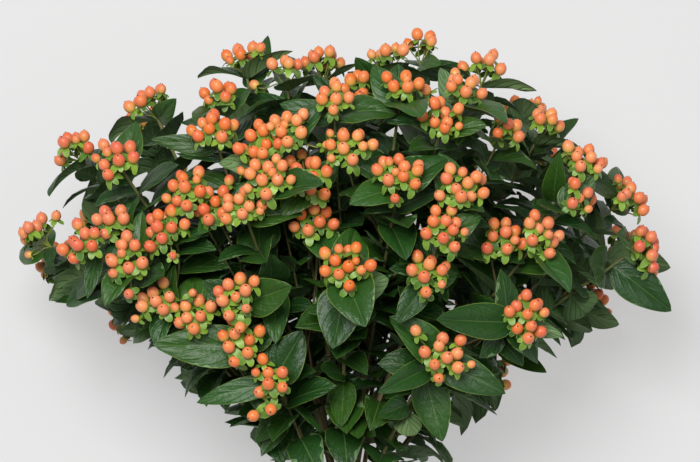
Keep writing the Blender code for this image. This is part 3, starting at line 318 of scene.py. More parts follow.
# Keeping pieces clear of one another
class Item:
    """A placed shape, with what is needed to test others against it."""

    def __init__(self, kind, owner, group, shape):
        self.kind, self.owner, self.group = kind, owner, group
        self.points, self.faces = shape
        self.low = self.points.min(axis=0)
        self.high = self.points.max(axis=0)
        self._tree = None

    @property
    def tree(self):
        if self._tree is None:
            self._tree = BVHTree.FromPolygons([tuple(p) for p in self.points], self.faces)
        return self._tree


class Room:
    """All that has been placed so far."""

    def __init__(self):
        self.items = []
        self.low = np.zeros((0, 3))
        self.high = np.zeros((0, 3))

    def add(self, items):
        self.items += items
        self.low = np.vstack([self.low] + [i.low for i in items])
        self.high = np.vstack([self.high] + [i.high for i in items])

    def add_leaf(self, owner, group, leaf):
        self.add([Item("leaf", owner, group, leaf_shape(leaf, LEAF_THICKNESS, LEAF_START))])

    def hits(self, shape, counts):
        """How many of the placed items that counts() names a shape crosses."""
        if not self.items:
            return 0
        probe = Item("probe", -1, -1, shape)
        near = np.all((self.low <= probe.high) & (self.high >= probe.low), axis=1)
        found = 0
        for index in np.nonzero(near)[0]:
            item = self.items[index]
            if counts(item) and probe.tree.overlap(item.tree):
                found += 1
        return found


class Path:
    """A smooth line with its length so far and a side direction carried along it."""

    def __init__(self, points):
        self.points = np.asarray(points)
        steps = np.diff(self.points, axis=0)
        lengths = np.linalg.norm(steps, axis=1)
        self.along = np.concatenate([[0.0], np.cumsum(lengths)])
        self.length = self.along[-1]
        ahead = steps / lengths[:, None]
        self.ahead = np.vstack([ahead[:1], ahead[:-1] + ahead[1:], ahead[-1:]])
        side, _ = across(self.ahead[0])
        self.side = []
        for direction in self.ahead:
            side = unit(beside(side, unit(direction)))
            self.side.append(side)
        self.side = np.array(self.side)

    def at(self, s):
        """Centre, direction ahead and carried side direction at a length."""
        s = min(max(s, 0.0), self.length)
        low = min(int(np.searchsorted(self.along, s, side="right")) - 1, len(self.points) - 2)
        part = (s - self.along[low]) / (self.along[low + 1] - self.along[low])
        centre = self.points[low] * (1 - part) + self.points[low + 1] * part
        ahead = unit(self.ahead[low] * (1 - part) + self.ahead[low + 1] * part)
        side = self.side[low] * (1 - part) + self.side[low + 1] * part
        return centre, ahead, unit(beside(side, ahead))


# The layout of the bunch
def head_depth(x, y):
    """How far the head's egg shape reaches towards the viewer."""
    left = 1.0 - (x / HEAD_HALF[0]) ** 2 - ((y - HEAD_MID_Y) / HEAD_HALF[1]) ** 2
    return HEAD_HALF[2] * math.sqrt(max(left, 0.0))


def edge_height(x):
    """How high the lower edge of the head is at a place across it."""
    across_mm, up_mm = zip(*LOWER_EDGE)
    return np.interp(x, across_mm, up_mm)


def cluster_axis(middle):
    """The way a cluster faces: partly away from the band, partly straight out of the head."""
    out = unit(
        vec(
            middle[0] / HEAD_HALF[0] ** 2,
            (middle[1] - HEAD_MID_Y) / HEAD_HALF[1] ** 2,
            middle[2] / HEAD_HALF[2] ** 2,
        )
    )
    return unit(0.62 * unit(middle + vec(0, 40, 0)) + 0.72 * out)


def cluster_list(rng):
    """The middle and the berry count of each cluster: those seen, then the far side by rule."""
    found = []
    for x, y, berries, share in SEEN:
        depth = head_depth(x, y) * share
        found.append((vec(x, y, depth - 8 + rng.uniform(-7, 5)), berries))
    for k in range(BACK_CLUSTERS):
        turn = k * GOLDEN_TURN + 0.4
        reach = math.sqrt((k + 0.6) / BACK_CLUSTERS)
        x = HEAD_HALF[0] * 0.90 * reach * math.cos(turn)
        y = HEAD_MID_Y + 12 + HEAD_HALF[1] * 0.80 * reach * math.sin(turn)
        y = max(y, edge_height(x) + 34)
        depth = -head_depth(x, y) * rng.uniform(0.86, 1.0) + 8
        lie = math.radians(LIE_DEG)
        lowest = (LIE_FLOOR + 13 - y * math.sin(lie)) / math.cos(lie)
        found.append((vec(x, y, max(depth, lowest)), rng.choice((7, 8, 9, 10))))
    return found


def above_surface(points):
    """Whether all points are above the plane that the bunch is pressed to."""
    lie = math.radians(LIE_DEG)
    return np.min(points[:, 2] * math.cos(lie) + points[:, 1] * math.sin(lie)) > LIE_FLOOR


def stem_groups(clusters):
    """Shares the clusters out: the farthest free one ends a stem, near lower ones are its twigs."""
    order = sorted(range(len(clusters)), key=lambda i: -np.linalg.norm(clusters[i][0]))
    free = set(order)
    groups = []
    for tip in order:
        if tip not in free:
            continue
        free.discard(tip)
        near = []
        for other in free:
            gap = np.linalg.norm(clusters[other][0] - clusters[tip][0])
            lean = np.dot(unit(clusters[other][0]), unit(clusters[tip][0]))
            if gap < TWIG_REACH and lean > TWIG_LEAN:
                near.append((gap, other))
        chosen = [other for _, other in sorted(near)[:TWIGS_A_STEM]]
        free -= set(chosen)
        groups.append([tip] + chosen)
    return groups


def slot_list(tips):
    """A place in the band for each stem, so that neighbours there are neighbours above."""
    cells = []
    for row in range(-6, 7):
        for column in range(-6, 7):
            cells.append(vec((column + 0.5 * (row % 2)) * SLOT_STEP, row * SLOT_STEP * SLOT_ROW))
    cells = sorted(cells, key=lambda c: np.linalg.norm(c - vec(0.3, 0.2)))[: len(tips)]
    aims = [vec(t[0], t[2] * 1.35) / (t[1] + 60.0) for t in tips]
    scale = SLOT_SPREAD / max(np.linalg.norm(a) for a in aims)
    aims = [a * scale for a in aims]
    slots = list(range(len(tips)))

    def cost(stem, slot):
        return np.sum((cells[slot] - aims[stem]) ** 2)

    for _ in range(40):
        changed = False
        for i in range(len(tips)):
            for j in range(i):
                now = cost(i, slots[i]) + cost(j, slots[j])
                if cost(i, slots[j]) + cost(j, slots[i]) < now - 1e-9:
                    slots[i], slots[j] = slots[j], slots[i]
                    changed = True
        if not changed:
            break
    return [vec(cells[s][0], 0.0, cells[s][1]) for s in slots]


def path_gap(one, two):
    """The least distance between two paths, each taken at fine steps."""
    fine = []
    for path in (one, two):
        t = np.linspace(0, len(path) - 1, 5 * len(path))
        low = np.minimum(t.astype(int), len(path) - 2)
        part = (t - low)[:, None]
        fine.append(path[low] * (1 - part) + path[low + 1] * part)
    return np.min(np.linalg.norm(fine[0][:, None, :] - fine[1][None, :, :], axis=2))


def stem_path(slot, tip, axis, rng, spread):
    """A stem from its cut end through its place in the band to its tip, astray by a spread."""
    reach = np.linalg.norm(tip - slot)
    wander = vec(rng.uniform(-1, 1), rng.uniform(-0.5, 0.5), rng.uniform(-1, 1)) * spread
    out = unit(0.8 * axis + 0.45 * unit(tip))
    p1 = slot * 1.5 + vec(0, 0.40 * reach, 0) + wander
    p2 = tip - out * 0.34 * reach + wander * 0.6
    cut = slot * CUT_SPREAD + vec(0, CUT_Y + rng.uniform(-7, 7), 0)
    return Path(np.vstack([cut, (cut + slot) / 2, bezier(slot, p1, p2, tip, 22)]))


def berries_of(node, axis, count, rng):
    """The middles and sizes of the berries of one cluster, kept clear of one another."""
    side, other = across(axis)
    phase = rng.uniform(0, ROUND)
    spots, radii = [], []
    spread = CLUSTER_RADIUS * math.sqrt(count / 9.5)
    for i in range(count):
        reach = spread * math.sqrt((i + 0.35) / count)
        turn = phase + i * GOLDEN_TURN
        rise = CLUSTER_RISE + 4 - 8 * (reach / CLUSTER_RADIUS) ** 2 + rng.uniform(-5, 5)
        spots.append(node + axis * rise + reach * round_of(side, other, turn))
        size = rng.uniform(0.93, 1.08) if rng.random() < 0.85 else rng.uniform(0.68, 0.85)
        radii.append(BERRY_RADIUS * size)
    for _ in range(12):
        for i in range(count):
            for j in range(i):
                away = spots[i] - spots[j]
                need = (radii[i] + radii[j]) * 1.08 + 0.4
                gap = np.linalg.norm(away)
                if gap < need:
                    push = away / max(gap, 1e-6) * (need - gap) / 2
                    spots[i] = spots[i] + push
                    spots[j] = spots[j] - push
    return spots, radii


def kept_berries(spots, node, axis):
    """The berries that the faceted solid keeps, and the direction of the outermost.

    They are the middle one, the outermost and, in a full cluster, the one across from that.
    """
    flat = [beside(p - node, axis) for p in spots]
    order = sorted(range(len(spots)), key=lambda i: np.linalg.norm(flat[i]))
    middle, outer = order[0], order[-1]
    rest = [i for i in order if i not in (middle, outer)]
    facing = min(rest, key=lambda i: np.dot(flat[i], unit(flat[outer])))
    if len(spots) < 9:
        facing = None
    return middle, outer, facing, unit(flat[outer])


def crosses_own(room, leaf, stem, group):
    """Whether a leaf crosses its own stem's wood, berries or leaves of another pair."""
    near = leaf_shape(leaf, LEAF_THICKNESS + 0.2, 0.0)
    if room.hits(near, lambda item: item.owner == stem and item.kind == "berry"):
        return True
    far = leaf_shape(leaf, LEAF_THICKNESS + CLEARANCE, 0.08)
    return room.hits(
        far, lambda item: item.owner == stem and item.kind != "berry" and item.group != group
    ) > 0


def place_leaf(room, stem, group, node, axis, out, rng, length, big, tries=LEAF_TRIES):
    """Tries a leaf this way and that until it is clear of all else, and shorter if need be."""
    spread = rng.uniform(*LEAF_SPREAD)
    slim = rng.uniform(*LEAF_SLIM)
    bend = rng.uniform(*LEAF_BEND)
    fold = rng.uniform(*LEAF_FOLD)
    twist = rng.uniform(*LEAF_TWIST)
    other = np.cross(axis, out)

    def strange(item):
        return item.owner != stem or (item.kind == "berry" and item.group != group)

    for attempt in range(tries):
        shrink = 1.0 - 0.028 * attempt
        loose = 0.0 if attempt == 0 else 1.0
        turn = loose * rng.uniform(-0.5, 0.5)
        open_out = max(spread + loose * rng.uniform(-0.45, 0.45), STEEPEST)
        towards = round_of(out, other, turn)
        d = unit(round_of(axis, towards, open_out))
        leaf = {
            "base": node + towards * LEAF_OUT,
            "d": d,
            "n": unit(beside(axis, d)),
            "length": length * shrink,
            "width": length * shrink * slim,
            "bend": bend + loose * rng.uniform(-0.5, 0.5),
            "fold": fold,
            "twist": twist + loose * rng.uniform(-0.4, 0.4),
            "big": big,
        }
        probe = leaf_shape(leaf, LEAF_THICKNESS + 2 * CLEARANCE, LEAF_START)
        if np.min(probe[0][:, 1] - edge_height(probe[0][:, 0])) < -EDGE_SLACK:
            continue
        if not above_surface(probe[0]) or room.hits(probe, strange):
            continue
        if crosses_own(room, leaf, stem, (group, "leaf")):
            continue
        room.add_leaf(stem, (group, "leaf"), leaf)
        return leaf
    return None


def leaf_to(base, tip, facing, wide, bend, fold, roll):
    """A leaf between two points that turns its upper side to a given direction."""
    chord = unit(tip - base)
    up = unit(beside(facing, chord))
    up = round_of(up, np.cross(chord, up), roll)
    half = bend / 2
    stretch = half / math.sin(half) if abs(half) > 1e-3 else 1.0
    return {
        "base": base,
        "d": round_of(chord, up, half),
        "n": math.cos(half) * up - math.sin(half) * chord,
        "length": np.linalg.norm(tip - base) * stretch,
        "width": wide,
        "bend": bend,
        "fold": fold,
        "twist": 0.0,
        "big": True,
    }


def photo_spot(x, y):
    """Across and up from the band, in millimetres, of a place in the photo's pixels."""
    return (x - PHOTO_MIDDLE[0]) / PHOTO_SCALE, (PHOTO_MIDDLE[1] - y) / PHOTO_SCALE


def starts_for(stems, base, tip):
    """Where a seen leaf could grow from, nearest first: a pair under a cluster, or along a stem."""

    def stray(spot):
        return np.linalg.norm((spot - base)[:2]) + 0.30 * abs(spot[2] - base[2])

    found = []
    for index, stem in enumerate(stems):
        for cluster in stem["clusters"]:
            spot = cluster["node"] - cluster["axis"] * NODE_HALF
            for half in range(2):
                out = np.cross(cluster["axis"], cluster["towards"]) * (1 - 2 * half)
                if cluster["leaves"][half] is None and np.dot(unit(tip - spot), out) > 0.3:
                    found.append((stray(spot) - 3, index, ("tip", cluster, half), spot, out))
        path = stem["path"]
        for s in np.arange(0.35 * path.length, path.length - 9, 4.0):
            if any(abs(s - n["s"]) < 8 for n in stem["nodes"]):
                continue
            spot, ahead, _ = path.at(s)
            out = beside(unit(tip - spot), ahead)
            if np.linalg.norm(out) > 0.35:
                found.append((stray(spot), index, ("stem", s), spot, unit(out)))
    found.sort(key=lambda f: f[0])
    return found


def seen_leaf(room, index, where, start, out, tip, length, wide, side, rng):
    """A seen leaf from one start, aimed a little more freely at each try."""
    own_cluster = where[1]["id"] if where[0] == "tip" else None
    group = ("seen", round(where[1]) if own_cluster is None else own_cluster)

    def strange(item):
        return item.owner != index or (item.kind == "berry" and item.group != own_cluster)

    for attempt in range(SEEN_TRIES):
        loose = 0.35 * attempt
        shrink = 1 - 0.02 * attempt
        aim = tip + vec(rng.uniform(-5, 5), rng.uniform(-5, 5), rng.uniform(-14, 10)) * loose
        aim = start + unit(aim - start) * length * shrink
        facing = vec(0, 0, side) + vec(rng.uniform(-0.4, 0.4), rng.uniform(-0.1, 0.5), 0) * (0.4 + loose)
        leaf = leaf_to(
            start, aim, facing, wide / PHOTO_SCALE * 1.04 * shrink,
            side * rng.uniform(-0.5, 0.8), rng.uniform(0.08, 0.35), 0.3 * loose * rng.uniform(-1, 1),
        )
        if np.dot(leaf["d"], out) < math.sin(STEEPEST):
            continue
        probe = leaf_shape(leaf, LEAF_THICKNESS + 2 * CLEARANCE, LEAF_START)
        if not above_surface(probe[0]) or room.hits(probe, strange):
            continue
        if not crosses_own(room, leaf, index, group):
            room.add_leaf(index, group, leaf)
            return leaf
    return None


def place_seen_leaves(room, stems, rng):
    """The leaves that the photo shows, each on the nearest stem that leaves it clear."""
    for x0, y0, x1, y1, wide, side in LEAVES_SEEN:
        places = [photo_spot(x0, y0), photo_spot(x1, y1)]
        base, tip = [vec(x, y, head_depth(x, y)) for x, y in places]
        base[2] -= SEEN_BASE_DROP
        length = max(np.linalg.norm((tip - base)[:2]), SEEN_SHORTEST) * 1.04
        for far, index, where, spot, out in starts_for(stems, base, tip)[:SEEN_STARTS]:
            if far > SEEN_STRAY:
                break
            start = spot + out * LEAF_OUT
            leaf = seen_leaf(room, index, where, start, out, tip, length, wide, side, rng)
            if leaf is None:
                continue
            if where[0] == "tip":
                where[1]["leaves"][where[2]] = leaf
            else:
                stems[index]["nodes"].append(
                    {"s": float(where[1]), "out": out, "twig": None, "leaves": [leaf, None]}
                )
            break


def stem_radius(s, length):
    """The stem's radius at a length from its cut end."""
    return STEM_RADIUS[0] + (STEM_RADIUS[1] - STEM_RADIUS[0]) * (s / length) ** 1.3


def place_stems(room, groups, nodes, axes, rng):
    """The main stems, bent clear of one another."""
    slots = slot_list([nodes[g[0]] for g in groups])
    stems = []
    for index, group in enumerate(groups):
        best = None
        for attempt in range(STEM_TRIES):
            path = stem_path(slots[index], nodes[group[0]], axes[group[0]], rng, 1.5 * attempt)
            gap = min([path_gap(path.points, s["path"].points) for s in stems], default=99.0)
            if best is None or gap > best[0]:
                best = (gap, path)
            if gap >= SLOT_STEP - 0.05:
                break
        path = best[1]
        radii = [stem_radius(s, path.length) for s in path.along]
        stems.append({"path": path, "clusters": [], "nodes": []})
        room.add([Item("stem", index, "stem", tube(path.points, [r + 0.5 for r in radii]))])
    return stems, slots


def place_clusters(room, groups, stems, clusters, nodes, axes, rng):
    """The berries, each cluster moved a little until it is clear."""
    for index, group in enumerate(groups):
        for order, cluster in enumerate(group):
            node, axis, count = nodes[cluster], axes[cluster], clusters[cluster][1]
            start = node
            for attempt in range(CLUSTER_TRIES):
                spots, radii = berries_of(node, axis, count, rng)
                clear = not any(
                    room.hits(
                        berry_shape(node + (spot - node) * 0.25, spot, radius, CLEARANCE), lambda item: True
                    )
                    for spot, radius in zip(spots, radii)
                )
                if clear or (order == 0 and attempt > 12):
                    break
                if order > 0:
                    node = start + vec(*(rng.uniform(-1, 1) for _ in range(3))) * (3 + attempt)
            middle, outer, facing, towards = kept_berries(spots, node, axis)
            roots = [node] * len(spots)
            roots[outer] = node - axis * NODE_HALF + towards
            if facing is not None:
                roots[facing] = node - axis * NODE_HALF - towards
            shapes = [berry_shape(*each) for each in zip(roots, spots, radii)]
            room.add([Item("berry", index, cluster, shape) for shape in shapes])
            stems[index]["clusters"].append(
                {
                    "id": cluster, "node": node, "axis": axis, "spots": spots, "radii": radii,
                    "kept": (middle, outer, facing), "towards": towards, "leaves": [None, None],
                    "path": None,
                }
            )


def twig_rings(length):
    """Where along a twig the solid has a ring, before those of its leaf pair."""
    first = min(7.0, 0.25 * length)
    return [first, 0.38 * length, 0.7 * length] if length > 85 else [first, 0.55 * length]


def place_twigs(room, stems, rng):
    """A twig from the main stem to each side cluster."""
    for index, stem in enumerate(stems):
        main = stem["path"]
        for cluster in list(stem["clusters"][1:]):
            node, axis = cluster["node"], cluster["axis"]
            best = None

            def others(item):
                return item.owner != index or item.kind == "twig" or (
                    item.kind == "berry" and item.group != cluster["id"]
                )

            def own_wood(item):
                return item.owner == index and item.kind == "stem"

            for _ in range(TWIG_TRIES):
                s = main.length * rng.uniform(*TWIG_FROM)
                if any(abs(s - n["s"]) < TWIG_APART for n in stem["nodes"]):
                    continue
                start, ahead, _ = main.at(s)
                reach = np.linalg.norm(node - start)
                away = beside(node - start, ahead)
                if np.dot(node - start, ahead) < 0.3 * reach or np.linalg.norm(away) < 9:
                    continue
                out = unit(away)
                bow = unit(0.6 * unit(node - start) + 0.45 * ahead + 0.35 * out)
                line = bezier(
                    start + out * 1.0, start + bow * reach * 0.35, node - axis * reach * 0.3, node, 10
                )
                far = line[2:]
                hits = room.hits(tube(line, [TWIG_RADIUS[0] + CLEARANCE] * len(line)), others)
                hits += room.hits(tube(far, [TWIG_RADIUS[0] + 0.3] * len(far)), own_wood)
                if best is None or hits < best[0]:
                    best = (hits, line, s, out, start)
                if hits == 0:
                    break
            if best is None or best[0] > 0:
                stem["clusters"].remove(cluster)
                continue
            _, line, s, out, start = best
            cluster["path"] = Path(line)
            rings = [cluster["path"].at(along)[0] for along in twig_rings(cluster["path"].length)]
            rings = [start] + rings + [node]
            wood = tube(rings, [TWIG_RADIUS[0] + 0.3] * len(rings))
            room.add([Item("twig", index, cluster["id"], wood)])
            stem["nodes"].append({"s": s, "out": out, "twig": cluster, "leaves": [None, None]})


def place_leaves(room, stems, rng):
    """A pair of leaves under each cluster and each twig, then pairs down each stem."""
    for index, stem in enumerate(stems):
        for order, cluster in enumerate(stem["clusters"]):
            axis = cluster["axis"]
            out = np.cross(axis, cluster["towards"])
            for half in range(2):
                if cluster["leaves"][half] is not None:
                    continue
                length = rng.uniform(*(TIP_LEAF_LONG if order == 0 else TWIG_LEAF_LONG))
                cluster["leaves"][half] = place_leaf(
                    room, index, cluster["id"], cluster["node"] - axis * NODE_HALF, axis,
                    out * (1 - 2 * half), rng, length, order == 0,
                )
    for index, stem in enumerate(stems):
        path = stem["path"]
        taken = [n["s"] for n in stem["nodes"]]
        _, ahead, side = path.at(path.length)
        tip_out = np.cross(stem["clusters"][0]["axis"], stem["clusters"][0]["towards"])
        turn = math.atan2(np.dot(tip_out, np.cross(ahead, side)), np.dot(tip_out, side))
        s = path.length - LEAF_STEP
        while s > 0 and path.at(s)[0][1] > LEAF_LOWEST_Y:
            turn += math.pi / 2 + rng.uniform(-0.2, 0.2)
            if all(abs(s - other) > 15 for other in taken):
                centre, ahead, side = path.at(s)
                out = round_of(side, np.cross(ahead, side), turn)
                stem["nodes"].append({"s": s, "out": out, "twig": None, "leaves": [None, None]})
            s -= LEAF_STEP * rng.uniform(0.9, 1.1)
        stem["nodes"].sort(key=lambda n: n["s"])
        for number, node in enumerate(stem["nodes"]):
            centre, ahead, side = path.at(node["s"])
            envelope = (max(centre[1], 20.0) / 300.0) ** 1.15
            outer = math.hypot(centre[0] / (250 * envelope), centre[2] / (135 * envelope))
            if outer < LEAFY_FROM[0 if centre[2] > 0 else 1] or node["leaves"] != [None, None]:
                continue
            below = centre - ahead * (2 * NODE_HALF + 0.6 if node["twig"] else 0.0)
            for half in range(2):
                node["leaves"][half] = place_leaf(
                    room, index, 1000 + number, below, ahead, node["out"] * (1 - 2 * half), rng,
                    rng.uniform(*PAIR_LEAF_LONG), False,
                )


def bunch():
    """Every stem with its clusters, twigs and leaves, the places of the stems, and the room left."""
    rng = random.Random(SEED)
    room = Room()
    clusters = cluster_list(rng)
    groups = stem_groups(clusters)
    nodes, axes = [], []
    for middle, _ in clusters:
        axis = cluster_axis(middle)
        axes.append(axis)
        nodes.append(middle - axis * CLUSTER_RISE)
    stems, slots = place_stems(room, groups, nodes, axes, rng)
    place_clusters(room, groups, stems, clusters, nodes, axes, rng)
    place_twigs(room, stems, rng)
    place_seen_leaves(room, stems, rng)
    place_leaves(room, stems, rng)
    return stems, slots, room


def lay_down(points):
    """From the upright layout in millimetres to the lying bunch in metres."""
    tip, roll = math.radians(TIP_DEG), math.radians(ROLL_DEG)
    x, y, z = points[:, 0], points[:, 1], points[:, 2]
    x, z = x * math.cos(roll) + z * math.sin(roll), z * math.cos(roll) - x * math.sin(roll)
    y, z = y * math.cos(tip) - z * math.sin(tip), z * math.cos(tip) + y * math.sin(tip)
    return np.column_stack([x, y, z]) * 0.001 + np.array(SHIFT)


# Looks: sizes that only the fine pieces have
LEAF_ROWS = (0.0, 0.02, 0.06, 0.12, 0.2, 0.29, 0.38, 0.48, 0.58, 0.68, 0.78, 0.87, 0.94, 1.0)
LEAF_COLUMNS = (-1.0, -0.8, -0.5, -0.2, 0.0, 0.2, 0.5, 0.8, 1.0)
INNER_ROWS = (0.0, 0.05, 0.2, 0.4, 0.6, 0.8, 1.0)
INNER_COLUMNS = (-1.0, -0.55, 0.0, 0.55, 1.0)
SEPALS = 5
SEPAL_LONG = 8.5
SEPAL_HALF = 3.15
SEPAL_OUTLINE = ((0.0, 0.40), (0.3, 0.82), (0.62, 1.0), (0.86, 0.74), (0.96, 0.38), (1.0, 0.0))
BERRY_FINE = 0.94  # a fine berry stands this much inside its faceted solid
BERRY_LIFT = 0.55  # how far a berry turns up from its stalk
SIDE_BERRIES = (0, 0, 1, 2)  # how many more berries a cluster may have round it
SIDE_TRIES = 26
SIDE_REACH = (17, 36)  # how far such a berry is from its cluster's middle line
SIDE_RISE = (2, 24)
SIDE_SIZES = (0.7, 0.88, 0.96, 1.0, 1.04)
YOUNG_SHARE = 0.28  # this share of the berries is still yellow at the foot
BERRY_ROWS = 9
BERRY_SIDES = 12
BAKE_PIXELS = 512
SHARP_DEG = 62.0
TOP_LEAVES = 18  # so many of the leaves that the photo shows stand up along the top
TOP_STRAY = 34.0  # how far from where the photo has it such a leaf may start
TOP_STARTS = 50
TOP_TRIES = 13
TOP_LONGEST = 62.0
INNER_LONG = (34, 54)  # the length of an inner leaf
INNER_APART = (10, 15)
INNER_TRIES = 8
BAND_HALF = 3.6  # half the width of the rubber band
BAND_STEPS = 72
BAND_TURNS = 24
BAND_OUTER = 0.75  # share of those steps that go over the ribbed outside, the rest the flat inside
PLAIN = (0.5, 0.5, 0.5)  # the tint of what has no tint of its own
FLOOR_TONE = (0.30, 0.30, 0.30)
FLOOR_GLOW = 0.44  # the floor is lit through, so that the bunch throws only a faint shadow
FLOOR_HALF = 6.0  # metres
FLOOR_DROP = 0.0002  # metres below the bunch, so that it doesn't flicker against the faces that rest
CAMERA_AT = vec(4.3, 312.0, 3500.0)
SEEN_DEPTH = 60.0  # the height above the layout's middle at which PHOTO_SCALE holds
FRAME_ACROSS = 597.0  # what the picture's width spans there
SENSOR = 36.0
CAMERA_LENS = SENSOR * (CAMERA_AT[2] - SEEN_DEPTH) / FRAME_ACROSS
WORLD_LIGHT = 0.22
LIGHTS = (
    # name, place and aim in the layout's millimetres, size in metres, watts
    ("key", (-520, 1250, 2300), (0, 280, 60), 1.3, 72.0),
    ("fill", (1300, 500, 2000), (0, 280, 0), 1.8, 12.0),
)


class Piece:
    """A mesh put together from grids of points, with its own map for each purpose."""

    def __init__(self, name, materials):
        self.name, self.materials = name, materials
        self.points, self.quads, self.pattern, self.tints = [], [], [], []
        self.kinds, self.sizes, self.spans = [], [], []
        self.count = 0

    def grid(self, points, kind, tint, flip=False, size=None):
        """Adds rows of points. The pattern map runs across a row and along the rows."""
        rows, columns = points.shape[:2]
        r, c = np.mgrid[0 : rows - 1, 0 : columns - 1]
        a = self.count + (r * columns + c).ravel()
        quads = np.column_stack([a, a + 1, a + 1 + columns, a + columns])
        self.quads.append(quads[:, ::-1] if flip else quads)
        self.kinds.append(np.full(len(quads), self.materials.index(kind)))
        v, u = np.mgrid[0:rows, 0:columns]
        self.pattern.append(np.column_stack([u.ravel() / (columns - 1), v.ravel() / (rows - 1)]))
        self.points.append(points.reshape(-1, 3))
        self.tints.append(np.tile(tint, (rows * columns, 1)))
        if size is None:
            wide = max(np.linalg.norm(np.diff(row, axis=0), axis=1).sum() for row in points)
            long = np.linalg.norm(np.diff(points[:, columns // 2], axis=0), axis=1).sum()
            size = (wide, long)
        self.sizes.append(size)
        self.spans.append(rows * columns)
        self.count += rows * columns

    def bake_map(self):
        """A place for each grid on one square map, on shelves, so that none lies over another."""
        order = sorted(range(len(self.sizes)), key=lambda i: -self.sizes[i][1])
        side = math.sqrt(sum(w * h for w, h in self.sizes)) * 1.04
        side = max(side, max(h for _, h in self.sizes) * 1.02)
        while True:
            pad = side * 2.5 / BAKE_PIXELS
            x = y = shelf = 0.0
            spots = {}
            for i in order:
                wide, high = self.sizes[i][0] + pad, self.sizes[i][1] + pad
                if x + wide > side:
                    x, y, shelf = 0.0, y + shelf, 0.0
                shelf = max(shelf, high)
                spots[i] = (x, y)
                x += wide
            if y + shelf <= side:
                break
            side *= 1.03
        placed = []
        for i, pattern in enumerate(self.pattern):
            corner = np.array(spots[i]) + pad / 2
            placed.append((corner + pattern * np.array(self.sizes[i])) / side)
        return np.concatenate(placed)

    def make(self, nodes, slot):
        """The object, riding on the one body and standing for the nodes."""
        points = np.concatenate(self.points)
        quads = np.concatenate(self.quads)
        mesh = bpy.data.meshes.new(self.name)
        flat = np.clip(lay_down(points), BOX_LOW, BOX_HIGH)
        mesh.from_pydata(flat.tolist(), [], quads.tolist())
        mesh.polygons.foreach_set("material_index", np.concatenate(self.kinds))
        mesh.polygons.foreach_set("use_smooth", [True] * len(quads))
        corners = quads.ravel()
        for label, values in (("Pattern", np.concatenate(self.pattern)), ("OFBake", self.bake_map())):
            layer = mesh.uv_layers.new(name=label)
            layer.data.foreach_set("uv", values[corners].ravel())
        tints = np.concatenate(self.tints)
        tints = np.column_stack([tints, np.ones(len(tints))])
        layer = mesh.color_attributes.new("Tint", "FLOAT_COLOR", "CORNER")
        layer.data.foreach_set("color", tints[corners].ravel())
        for name in self.materials:
            mesh.materials.append(MATERIALS[name])
        bm = bmesh.new()
        bm.from_mesh(mesh)
        bmesh.ops.remove_doubles(bm, verts=bm.verts, dist=1e-7)
        bm.to_mesh(mesh)
        bm.free()
        mesh.set_sharp_from_angle(angle=math.radians(SHARP_DEG))
        made = show(self.name, mesh)
        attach(made, "root")
        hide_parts(*nodes)


# Leaves
def blade(leaf, rows, columns, rng):
    """The upper and lower grids of a leaf: waved at the rim, swollen between the veins."""
    phase = rng.uniform(0, ROUND)
    waves = rng.uniform(1.2, 2.2)
    wave = rng.uniform(0.015, 0.04) * leaf["width"]
    swell = rng.uniform(0.03, 0.06) * leaf["width"]
    upper, lower = [], []
    for t in rows:
        up = leaf_frame(leaf, t)[2]
        over, under = [], []
        taper = min(1.0, 6 * t) * min(1.0, 5 * (1 - t))
        rounder = min(1.4, half_width(t) ** -0.17) if half_width(t) > 0 else 1.0
        for s in columns:
            reach = abs(s)
            ripple = math.sin(phase + waves * ROUND * t + (2.0 if s > 0 else 0))
            lift = taper * wave * reach**2.5 * ripple
            lift += taper * swell * (math.sin(math.pi * reach**0.75) - 0.35 * reach)
            thick = 0.34 * (1 - reach**4) * (0.4 + 0.6 * taper)
            point = leaf_point(leaf, t, s, rounder) + up * lift
            over.append(point + up * thick)
            under.append(point - up * (thick + (0.25 * taper if s == 0 else 0.0)))
        upper.append(over)
        lower.append(under)
    return np.array(upper), np.array(lower)


def add_leaf(piece, leaf, rng, tint, inner=False):
    """Both sides of a leaf, with fewer rows for a small inner one."""
    rows, columns = (INNER_ROWS, INNER_COLUMNS) if inner else (LEAF_ROWS, LEAF_COLUMNS)
    upper, lower = blade(leaf, rows, columns, rng)
    piece.grid(upper, "leaf_top", tint)
    piece.grid(lower, "leaf_under", tint, flip=True)


# Berries
def add_berry(piece, middle, axis, radius, rng, tint):
    """An egg shape with a small dark stub, its rows running from the calyx to the tip."""
    side, other = across(axis)
    turns = [2 * math.pi * (j % BERRY_SIDES) / BERRY_SIDES for j in range(BERRY_SIDES + 1)]
    rows = []
    for k in range(BERRY_ROWS):
        a = math.pi * k / (BERRY_ROWS - 1)
        along = -math.cos(a) * BERRY_LONG * radius
        reach = math.sin(a) * (1 + 0.05 * math.cos(a)) * radius
        rows.append([middle + axis * along + reach * round_of(side, other, b) for b in turns])
    piece.grid(np.array(rows), "berry", tint, size=(5.2 * radius, 3.3 * radius))
    top = middle + axis * BERRY_LONG * radius
    lean = unit(axis + 0.4 * (rng.uniform(-1, 1) * side + rng.uniform(-1, 1) * other))
    stub = round_tube([top - lean * 0.5, top + lean * 0.35, top + lean * 0.8], (0.62, 0.42, 0.0), 5)
    piece.grid(stub, "berry_tip", tint, size=(1.5, 1.0))


